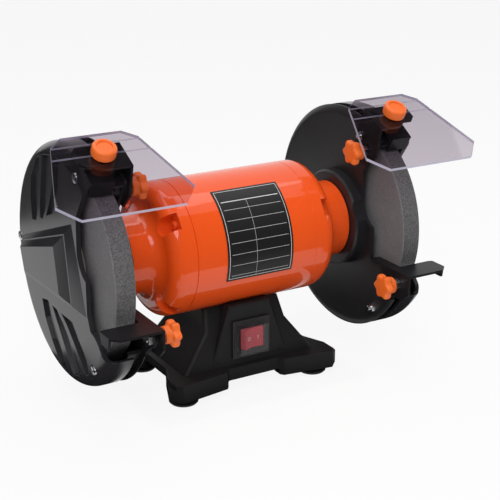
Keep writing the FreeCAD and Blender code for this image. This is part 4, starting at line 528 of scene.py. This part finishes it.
def show(name, maker, material, slot, body, *stands_for):
    """Turns a bmesh into a piece that rides on a body and stands for nodes of the frame."""
    bmesh.ops.recalc_face_normals(maker, faces=maker.faces)
    for face in maker.faces:
        face.smooth = True
    piece = add_object(name, mesh_from(maker, name))
    piece.data.materials.append(material)
    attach(piece, body)
    if stands_for:
        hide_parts(*stands_for)
    return piece


def subdivide(piece):
    """Smooths a piece by one level."""
    smooth = piece.modifiers.new("smooth", "SUBSURF")
    smooth.levels = 1
    smooth.render_levels = 1


def rings_to_skin(maker, rings):
    """Joins rings of equal count with quads, and closes a ring of one point as a fan."""
    rows = [[maker.verts.new(point) for point in ring] for ring in rings]
    for first, second in zip(rows, rows[1:]):
        count = max(len(first), len(second))
        for index in range(count):
            following = (index + 1) % count
            corners = [first[index % len(first)], first[following % len(first)],
                       second[following % len(second)], second[index % len(second)]]
            maker.faces.new(list(dict.fromkeys(corners)))


def lathe(profile, segments, pull=None):
    """A turned skin about local Z, from rows of radius, height and the share of pull(angle) to add."""
    maker = bmesh.new()
    rings = []
    for radius, height, *share in profile:
        if radius <= 0:
            rings.append([Vector((0, 0, height))])
            continue
        ring = []
        for step in range(segments):
            angle = 2 * math.pi * step / segments
            reach = radius + (pull(angle) * share[0] if pull and share else 0)
            ring.append(Vector((reach * math.cos(angle), reach * math.sin(angle), height)))
        rings.append(ring)
    rings_to_skin(maker, rings)
    return maker


def loose_boxes(node):
    """The boxes of the separate solids in one node, as (low corner, high corner)."""
    maker = bmesh.new()
    maker.from_mesh(frame["nodes"][node].data)
    bmesh.ops.remove_doubles(maker, verts=maker.verts, dist=SEAM)
    boxes = []
    waiting = set(maker.verts)
    while waiting:
        found = [waiting.pop()]
        reach = list(found)
        while reach:
            for edge in reach.pop().link_edges:
                for vertex in edge.verts:
                    if vertex in waiting:
                        waiting.discard(vertex)
                        found.append(vertex)
                        reach.append(vertex)
        low = Vector([min(vertex.co[axis] for vertex in found) for axis in range(3)])
        high = Vector([max(vertex.co[axis] for vertex in found) for axis in range(3)])
        boxes.append((low, high))
    maker.free()
    return sorted(boxes, key=lambda box: tuple(round(value, 5) for value in box[0]))


def coat(node, material):
    """Puts a finish on a node of the frame."""
    mesh = frame["nodes"][node].data
    mesh.materials.clear()
    mesh.materials.append(material)


def soften(node, width, segments=2):
    """Rounds the sharp edges of a node as it is shown."""
    thing = frame["nodes"][node]
    weld = thing.modifiers.new("weld", "WELD")
    weld.merge_threshold = WELD_GAP
    flat = thing.modifiers.new("flat", "DECIMATE")
    flat.decimate_type = "DISSOLVE"
    flat.angle_limit = FLAT_ANGLE
    edge = thing.modifiers.new("edge", "BEVEL")
    edge.width = width
    edge.segments = segments
    edge.limit_method = "ANGLE"
    edge.angle_limit = SHARP_ANGLE
    edge.use_clamp_overlap = True
    edge.harden_normals = False
    even = thing.modifiers.new("even", "WEIGHTED_NORMAL")
    even.keep_sharp = False


def cut_away(base, tool, name):
    """The base mesh without the tool mesh."""
    holders = []
    for maker, label in ((base, name + "_base"), (tool, name + "_tool")):
        bmesh.ops.recalc_face_normals(maker, faces=maker.faces)
        holders.append(add_object(label, mesh_from(maker, label)))
    carve = holders[0].modifiers.new("carve", "BOOLEAN")
    carve.operation = "DIFFERENCE"
    carve.solver = "EXACT"
    carve.object = holders[1]
    bpy.context.view_layer.update()
    ready = holders[0].evaluated_get(bpy.context.evaluated_depsgraph_get())
    result = bpy.data.meshes.new_from_object(ready)
    for holder in holders:
        spare = holder.data
        bpy.data.objects.remove(holder)
        bpy.data.meshes.remove(spare)
    if not result.polygons:
        raise RuntimeError("%s: the cut left nothing" % name)
    return result


def cross_head(radius, height, shank, length, recess):
    """A pan head with a cross recess on a plain shank; the head's seat is at the origin, its top to +Z."""
    dome = [(radius * math.cos(angle) ** 0.6, height * (0.42 + 0.58 * math.sin(angle)))
            for angle in (math.radians(step) for step in range(0, 90, 12))]
    profile = [(0, -length), (shank * 0.8, -length), (shank, -length + shank * 0.2), (shank, 0),
               (radius * 0.97, 0), (radius, height * 0.12)] + dome + [(0, height)]
    cross = bmesh.new()
    levels = []
    for level, reach, half in CROSS_LEVELS:
        ring = []
        for turn in range(4):
            spin = Matrix.Rotation(math.radians(90 * turn), 3, "Z")
            for x, y in ((half * recess, -half * recess), (reach * radius, -half * recess),
                         (reach * radius, half * recess)):
                ring.append(spin @ Vector((x, y, level * height)))
        levels.append(ring)
    rings_to_skin(cross, levels)
    cross.verts.ensure_lookup_table()
    corners = len(levels[0])
    cross.faces.new(cross.verts[:corners])
    cross.faces.new(cross.verts[-corners:])
    return cut_away(lathe(profile, 40), cross, "cross_head")


def star_dip(angle):
    """How far the rim of a star knob is drawn in, which is most between two lobes."""
    return -STAR_DIP * (0.5 - 0.5 * math.cos(STAR_LOBES * angle)) ** 0.85


def star_profile(radius, length):
    """Radius, height and share of the dip, from the free face of a star knob to the end of its hub."""
    hub = 8.4 * MM
    disc = 8.5 * MM
    return [
        (0, 0), (radius * 0.4, 0.0, 0.1), (radius - 2.6 * MM, 0.1 * MM, 0.8),
        (radius - 0.9 * MM, 0.7 * MM, 0.95), (radius, 2.2 * MM, 1.0), (radius, disc / 2, 1.0),
        (radius, disc - 2.2 * MM, 1.0), (radius - 0.9 * MM, disc - 0.7 * MM, 0.95),
        (radius - 2.6 * MM, disc, 0.7), (hub + 0.9 * MM, disc + 0.1 * MM, 0.1),
        (hub, disc + 0.9 * MM), (hub, length - 1.0 * MM), (hub - 0.3 * MM, length - 0.25 * MM),
        (hub - 1.2 * MM, length), (5.2 * MM, length), (0, length)]


def thumb_profile(radius):
    """Radius and height, from the seat of a thumb knob to the floor of the dish in its top."""
    seat = 0.12 * MM
    top = 10.5 * MM
    dish = top - 1.7 * MM
    return [
        (0, seat), (radius * 0.6, seat), (radius - 1.6 * MM, seat),
        (radius - 0.5 * MM, 0.5 * MM), (radius, 1.7 * MM), (radius, top / 2), (radius, top - 2.4 * MM),
        (radius - 0.45 * MM, top - 0.9 * MM), (radius - 1.6 * MM, top - 0.15 * MM),
        (radius - 2.6 * MM, top), (radius - 3.7 * MM, top), (radius - 4.1 * MM, top - 0.15 * MM),
        (radius - 4.2 * MM, top - 0.7 * MM), (radius - 4.3 * MM, top - 1.5 * MM),
        (radius - 4.7 * MM, dish), (radius * 0.25, dish), (0, dish)]


def outer_side(low, high):
    """1 for a box at the right of the machine, -1 at the left."""
    return 1 if low.x + high.x > 0 else -1


def on_axis(low, high, x):
    """The point at x on the middle line of a box along the spindle."""
    return Vector((x, (low.y + high.y) / 2, (low.z + high.z) / 2))


def along_spindle(side):
    """Turns local +Z to the outer side of the machine."""
    return Matrix.Rotation(math.radians(90 * side), 4, "Y")


# Operators

class GRINDER_OT_coat_motor(bpy.types.Operator):
    """Enamels the motor shell and the end bells"""

    bl_idname = "grinder.coat_motor"
    bl_label = "Coat motor"

    def execute(self, context):
        enamel = gloss_enamel(context.scene.grinder_paint)
        for node in ("motor_shell", "left_end_bell", "right_end_bell"):
            coat(node, enamel)
        for side in SIDES:
            soften(side + "_end_bell", context.scene.grinder_edges.bell)
        return {"FINISHED"}


class GRINDER_OT_coat_guards(bpy.types.Operator):
    """Coats dishes, covers, spark plates, brackets and tool rests"""

    bl_idname = "grinder.coat_guards"
    bl_label = "Coat guards and rests"

    def execute(self, context):
        paint = context.scene.grinder_paint
        edges = context.scene.grinder_edges
        cover = satin_black(
            paint, "cover_satin", roughness=0.2, gloss=0.34, grain=900.0, round_edge=edges.guard)
        # The dish's darker copy of the cover's coating is painted shade.
        dish = satin_black(paint, "dish_satin", roughness=0.4, gloss=0.44, grain=900.0, tone_share=0.65)
        sheet = satin_black(paint, "coated_sheet", roughness=0.38, gloss=0.15, grain=1300.0, tone_share=0.5)
        for side in SIDES:
            coat(side + "_guard_cover", cover)
            coat(side + "_guard_dish", dish)
            soften(side + "_guard_dish", edges.guard)
            for part in ("spark_plate", "shield_bracket", "tool_rest"):
                coat("%s_%s" % (side, part), sheet)
                soften("%s_%s" % (side, part), edges.sheet)
        return {"FINISHED"}


class GRINDER_OT_coat_wheels(bpy.types.Operator):
    """Gives the wheels their grit, and spindle, flanges and bearings their metal"""

    bl_idname = "grinder.coat_wheels"
    bl_label = "Coat wheels and spindle"

    def execute(self, context):
        paint = context.scene.grinder_paint
        grit = vitrified_grit(paint)
        steel = turned_steel(paint)
        for side in SIDES:
            coat(side + "_grinding_wheel", grit)
        for node in ("spindle_shaft", "inner_flanges", "outer_flanges", "spindle_nuts",
                     "bearing_outer_races", "bearing_inner_races", "bearing_balls"):
            coat(node, steel)
        coat("wheel_blotters", stock_moulding("paper_ring"))
        return {"FINISHED"}


class GRINDER_OT_coat_base(bpy.types.Operator):
    """Finishes the base, its feet and the cord gland"""

    bl_idname = "grinder.coat_base"
    bl_label = "Coat base"

    def execute(self, context):
        paint = context.scene.grinder_paint
        coat("base_pedestal", base_moulding(paint))
        soften("base_pedestal", context.scene.grinder_edges.base)
        coat("rubber_feet", stock_moulding("rubber_foot"))
        coat("cord_gland", stock_moulding("gland_moulding"))
        return {"FINISHED"}


class GRINDER_OT_coat_insides(bpy.types.Operator):
    """Finishes what is held inside: cores, windings, fan, capacitor and its cradle"""

    bl_idname = "grinder.coat_insides"
    bl_label = "Coat insides"

    def execute(self, context):
        paint = context.scene.grinder_paint
        core = laminated_core(paint)
        for node in ("stator_core", "rotor_core"):
            coat(node, core)
        coat("stator_windings", wound_copper(paint))
        dark = stock_moulding("inner_moulding")
        for node in ("cooling_fan", "capacitor_cradle"):
            coat(node, dark)
        coat("capacitor", stock_moulding("can_moulding"))
        return {"FINISHED"}


class GRINDER_OT_plate_fasteners(bpy.types.Operator):
    """Plates nuts, studs, bolts and the bottom plate"""

    bl_idname = "grinder.plate_fasteners"
    bl_label = "Plate fasteners"

    def execute(self, context):
        zinc = bright_zinc(context.scene.grinder_paint)
        plated = ["base_bottom_plate", "cover_nuts", "spark_plate_screws", "knob_nuts",
                  "bottom_plate_screws", "motor_mount_screws", "guard_mount_screws"]
        for side in SIDES:
            plated += [side + "_shield_bolt", side + "_rest_knob_stud", side + "_shield_clamp_knob_stud"]
        for node in plated:
            coat(node, zinc)
        return {"FINISHED"}


class GRINDER_OT_drive_screws(bpy.types.Operator):
    """Models the cross-head screws of the covers and of the end bells"""

    bl_idname = "grinder.drive_screws"
    bl_label = "Drive screws"

    def execute(self, context):
        paint = context.scene.grinder_paint
        recess = context.scene.grinder_edges.recess
        rows = (
            ("cover_screws", "cover_cross_screws", 3.0 * MM, bright_zinc(paint), "zinc_plate"),
            ("end_bell_screws", "bell_cross_screws", 3.6 * MM, gloss_enamel(paint), "orange_paint"))
        for node, name, height, material, slot in rows:
            gathered = bmesh.new()
            for low, high in loose_boxes(node):
                side = outer_side(low, high)
                length = high.x - low.x - height
                mesh = cross_head((high.y - low.y) / 2, height, SCREW_SHANK, length, recess)
                seat = high.x - height if side > 0 else low.x + height
                spin = FIRST_SPIN + SPIN_STEP * len(gathered.verts) % 90
                turn = Matrix.Rotation(math.radians(spin), 4, "Z")
                mesh.transform(Matrix.Translation(on_axis(low, high, seat)) @ along_spindle(side) @ turn)
                gathered.from_mesh(mesh)
                bpy.data.meshes.remove(mesh)
            piece = show(name, gathered, material, slot, "housing", node)
            edge = piece.modifiers.new("crisp", "EDGE_SPLIT")
            edge.split_angle = CRISP_ANGLE
        return {"FINISHED"}


class GRINDER_OT_mould_star_knobs(bpy.types.Operator):
    """Models the soft six-lobed clamp knobs"""

    bl_idname = "grinder.mould_star_knobs"
    bl_label = "Mould star knobs"

    def execute(self, context):
        plastic = moulded_knob(context.scene.grinder_paint)
        for side in SIDES:
            for part, body in (("rest_knob", "rest_screw"), ("shield_clamp_knob", "clamp_knob")):
                node = "%s_%s" % (side, part)
                low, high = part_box(node)
                maker = lathe(star_profile((high.z - low.z) / 2, high.x - low.x), 60, star_dip)
                outward = outer_side(low, high)
                spot = on_axis(low, high, low.x if outward > 0 else high.x)
                turn = Matrix.Rotation(math.radians(90 * outward), 4, "Z")
                maker.transform(Matrix.Translation(spot) @ along_spindle(outward) @ turn)
                piece = show(node + "_soft", maker, plastic, "knob_orange", "%s_%s" % (side, body), node)
                subdivide(piece)
        return {"FINISHED"}


class GRINDER_OT_mould_thumb_knobs(bpy.types.Operator):
    """Models the round knobs with a shallow dish on the eye shields"""

    bl_idname = "grinder.mould_thumb_knobs"
    bl_label = "Mould thumb knobs"

    def execute(self, context):
        plastic = moulded_knob(context.scene.grinder_paint)
        for side in SIDES:
            joint = JOINTS[side + "_thumb_turn"]
            node = side + "_shield_thumb_knob"
            low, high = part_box(node)
            maker = lathe(thumb_profile((high.x - low.x) / 2), 56)
            turn = Vector((0, 0, 1)).rotation_difference(Vector(joint["axis"])).to_matrix().to_4x4()
            maker.transform(Matrix.Translation(Vector(joint["pos_m"])) @ turn)
            piece = show(node + "_soft", maker, plastic, "knob_orange", side + "_thumb_knob", node)
            subdivide(piece)
        return {"FINISHED"}


class GRINDER_OT_clear_shields(bpy.types.Operator):
    """Makes the eye shields clear"""

    bl_idname = "grinder.clear_shields"
    bl_label = "Clear shields"

    def execute(self, context):
        sheet = clear_sheet(context.scene.grinder_paint)
        for side in SIDES:
            coat(side + "_eye_shield", sheet)
        return {"FINISHED"}


class GRINDER_OT_fit_switch(bpy.types.Operator):
    """Finishes the switch and its hood, and marks the rocker with a ring and a bar"""

    bl_idname = "grinder.fit_switch"
    bl_label = "Fit switch"

    def execute(self, context):
        paint = context.scene.grinder_paint
        edges = context.scene.grinder_edges
        coat("switch_body", stock_moulding("switch_moulding"))
        soften("switch_body", edges.switch)
        coat("switch_rocker", plain_moulding("rocker_moulding", paint.rocker, 0.28))
        soften("switch_rocker", edges.switch)
        coat("switch_hood", soft_clear(paint))
        soften("switch_hood", edges.hood, segments=3)
        joint = JOINTS["switch_rock"]
        swing = math.radians(joint["range_deg"][1] / 2)
        rest = Matrix.Translation(Vector(joint["pos_m"])) @ Matrix.Rotation(swing, 4, "Z")
        ring = lathe([(1.5 * MM, 0), (1.55 * MM, 0.12 * MM), (1.95 * MM, 0.12 * MM), (2.0 * MM, 0)], 32)
        bar = bmesh.new()
        corners = bmesh.ops.create_cube(bar, size=1)["verts"]
        bmesh.ops.scale(bar, vec=(0.55 * MM, 4.0 * MM, 0.24 * MM), verts=corners)
        bmesh.ops.bevel(bar, geom=list(bar.edges), offset=0.08 * MM, segments=2, affect="EDGES")
        upright = Matrix.Rotation(math.radians(90), 4, "X")
        marks = bmesh.new()
        for maker, side in ((ring, -1), (bar, 1)):
            lean = Matrix.Rotation(-ROCKER_TILT * side, 4, "Z")
            spot = Matrix.Translation(Vector((MARK_SIDE * side, -MARK_FRONT, 0)))
            maker.transform(rest @ spot @ lean @ upright)
            mesh = mesh_from(maker, "mark")
            marks.from_mesh(mesh)
            bpy.data.meshes.remove(mesh)
        pale = plain_moulding("mark_print", paint.print_tone, 0.4)
        show("rocker_marks", marks, pale, "cap_white", "rocker")
        return {"FINISHED"}


class GRINDER_OT_print_label(bpy.types.Operator):
    """Prints the blank label plate"""

    bl_idname = "grinder.print_label"
    bl_label = "Print label"

    def execute(self, context):
        coat("rating_plate", label_print(context.scene.grinder_paint))
        return {"FINISHED"}


class GRINDER_OT_set_stage(bpy.types.Operator):
    """Sets floor, cards, lights, world and camera"""

    bl_idname = "grinder.set_stage"
    bl_label = "Set stage"

    def execute(self, context):
        stage = context.scene.grinder_stage
        context.scene.view_settings.view_transform = "Standard"
        self.white_world(context, stage)
        self.pale_floor()
        self.dark_cards()
        self.lights(stage)
        self.camera(context, stage)
        return {"FINISHED"}

    def seen(self, f, behind_sheet):
        """One for rays that show the background bare, and less where they came through a clear sheet."""
        path = f.node("ShaderNodeLightPath").socket.node
        camera, glossy, through, sheets = [Value(f, path.outputs[name]) for name in (
            "Is Camera Ray", "Is Glossy Ray", "Is Transmission Ray", "Transparent Depth")]
        return camera.most(glossy).most(through) * (1 - sheets.least(1.0) * (1 - behind_sheet))

    def white_world(self, context, stage):
        """A world that looks white and lights the machine less than it looks."""
        f = Finish("white_room", bpy.data.worlds.new("white_room"))
        strength = self.seen(f, WORLD_BEHIND_SHEET) * (1 - stage.ambient) + stage.ambient
        light = f.node("ShaderNodeBackground", values={"Color": WHITE, "Strength": strength})
        context.scene.world = f.done(light, "ShaderNodeOutputWorld")

    def pale_floor(self):
        """A matt floor that glows where it is seen, so that it looks as white as the world."""
        maker = bmesh.new()
        bmesh.ops.create_grid(maker, x_segments=2, y_segments=2, size=8)
        floor = add_object("floor", mesh_from(maker, "floor"))
        f = Finish("pale_floor")
        paper = f.noise(f.place(), 900, 3)
        matt = f.surface({"Base Color": f.mix(paper, (0.80, 0.80, 0.80), (0.83, 0.83, 0.83)),
                          "Roughness": 0.9, "Specular IOR Level": 0.0})
        glow = f.node("ShaderNodeEmission", values={"Color": WHITE, "Strength": 1.0})
        share = self.seen(f, FLOOR_BEHIND_SHEET) * FLOOR_GLOW
        floor.data.materials.append(f.done(f.blend(share, matt, glow)))

    def dark_cards(self):
        """Cards that darken the gloss, round, under and over the machine; card_shade dims bounce too."""
        # Height and plan of each card that lies flat, then the corners of the upright ones
        flat = {
            "card_front_floor": (0.004, [(-4, -4), (4, -4), (4, -0.3), (-4, -0.3)]),
            "card_left_floor": (0.004, [(-0.27, -0.29), (-0.27, 0.04), (-0.64, 0.56), (-4, 0.56),
                                        (-4, -0.29)]),
            "card_rear_floor": (0.004, [(0.4, 0.57), (0.4, 4), (-4, 4), (-4, 0.57)]),
            # card_shade and the two card_under cards are painted shadow: the machine's shadow on the floor
            # as the gloss sees it
            "card_shade": (0.003, [(0.12, -0.09), (0.12, 0.2), (-0.12, 0.2), (-0.12, -0.09)]),
            "card_under_left": (0.003, [(-0.13, -0.12), (-0.13, 0.12), (-0.235, 0.12), (-0.235, -0.12)]),
            "card_under_right": (0.003, [(0.235, -0.12), (0.235, 0.12), (0.13, 0.12), (0.13, -0.12)]),
            "card_over_left": (0.5, [(-0.12, -0.13), (0.07, -0.13), (0.07, 0.05), (-0.12, 0.05)]),
            "card_over_right": (0.5, [(0.25, -0.13), (0.42, -0.13), (0.42, 0.05), (0.25, 0.05)])}
        rows = {name: [(x, y, height) for x, y in plan] for name, (height, plan) in flat.items()}
        rows["card_front"] = [(-4, -1.7, 0), (4, -1.7, 0), (4, -1.7, 4), (-4, -1.7, 4)]
        rows["card_rear"] = [(-4, 1.7, 0), (-0.45, 1.7, 0), (-0.45, 1.7, 3), (-4, 1.7, 3)]
        rows["card_left"] = [(-2.2, -2, 0), (-2.2, 0.6, 0), (-2.2, 0.6, 3), (-2.2, -2, 3)]
        black = self.cloth("black_cloth", 0.015)
        grey = self.cloth("grey_cloth", 0.14)
        for name, corners in rows.items():
            mesh = bpy.data.meshes.new(name)
            mesh.from_pydata(corners, [], [range(len(corners))])
            mesh.materials.append(grey if name == "card_rear_floor" else black)
            card = add_object(name, mesh)
            card.visible_camera = False
            card.visible_diffuse = name == "card_shade"
            card.visible_transmission = False
            card.visible_shadow = False

    def cloth(self, name, grey):
        """Dull cloth of one grey."""
        f = Finish(name)
        weave = f.noise(f.place(), 30, 3)
        tone = (grey,) * 3
        return f.done(f.surface({"Base Color": f.mix(weave, shade(tone, 0.8), shade(tone, 1.2)),
                                 "Roughness": 0.9, "Specular IOR Level": 0.1}))

    def lights(self, stage):
        """Three square lights, each aimed at the machine: name, power, size and place."""
        rows = (
            ("key_light", stage.key, 1.1, (-0.9, -1.3, 1.5)),
            ("top_light", stage.top, 1.2, (0.1, 0.1, 1.6)),
            ("side_light", stage.side, 1.0, (1.5, -0.7, 0.9)))
        for name, power, size, spot in rows:
            lamp = bpy.data.lights.new(name, "AREA")
            lamp.shape = "SQUARE"
            lamp.size = size
            lamp.energy = power
            thing = add_object(name, lamp)
            thing.location = spot
            aim = LIGHTS_AIM - Vector(spot)
            thing.rotation_euler = aim.to_track_quat("-Z", "Y").to_euler()

    def camera(self, context, stage):
        """The camera, where the photograph was taken from."""
        lens = bpy.data.cameras.new("camera")
        lens.lens = stage.lens
        lens.sensor_width = SENSOR_WIDTH
        lens.clip_start = 0.01
        eye = add_object("camera", lens)
        eye.location = stage.place
        level = math.cos(stage.elevation)
        back = Vector((math.sin(stage.azimuth) * level, -math.cos(stage.azimuth) * level,
                       math.sin(stage.elevation)))
        eye.rotation_euler = (-back).to_track_quat("-Z", "Y").to_euler()
        context.scene.camera = eye


OPERATORS = (
    GRINDER_OT_set_stage, GRINDER_OT_coat_motor, GRINDER_OT_coat_guards, GRINDER_OT_coat_wheels,
    GRINDER_OT_coat_base, GRINDER_OT_coat_insides, GRINDER_OT_plate_fasteners, GRINDER_OT_drive_screws,
    GRINDER_OT_mould_star_knobs, GRINDER_OT_mould_thumb_knobs, GRINDER_OT_clear_shields,
    GRINDER_OT_fit_switch, GRINDER_OT_print_label)


class GRINDER_PT_looks(bpy.types.Panel):
    """Lists the steps that dress the grinder"""

    bl_idname = "GRINDER_PT_looks"
    bl_label = "Bench grinder"
    bl_space_type = "VIEW_3D"
    bl_region_type = "UI"
    bl_category = "Grinder"

    def draw(self, context):
        for key in GROUPS:
            group = getattr(context.scene, key)
            box = self.layout.box()
            for setting in group.__annotations__:
                box.prop(group, setting)
        for operator in OPERATORS:
            self.layout.operator(operator.bl_idname)


GROUPS = {"grinder_paint": GrinderPaint, "grinder_edges": GrinderEdges, "grinder_stage": GrinderStage}


def register():
    """Adds the settings, the operators and the panel."""
    for group in GROUPS.values():
        bpy.utils.register_class(group)
    for key, group in GROUPS.items():
        setattr(bpy.types.Scene, key, bpy.props.PointerProperty(type=group))
    for operator in OPERATORS:
        bpy.utils.register_class(operator)
    bpy.utils.register_class(GRINDER_PT_looks)


def unregister():
    """Takes away what register added."""
    bpy.utils.unregister_class(GRINDER_PT_looks)
    for operator in reversed(OPERATORS):
        bpy.utils.unregister_class(operator)
    for key in GROUPS:
        delattr(bpy.types.Scene, key)
    for group in GROUPS.values():
        bpy.utils.unregister_class(group)


def main():
    """Dresses the frame."""
    register()
    for operator in OPERATORS:
        family, name = operator.bl_idname.split(".")
        getattr(getattr(bpy.ops, family), name)()


if __name__ == "__main__":
    main()
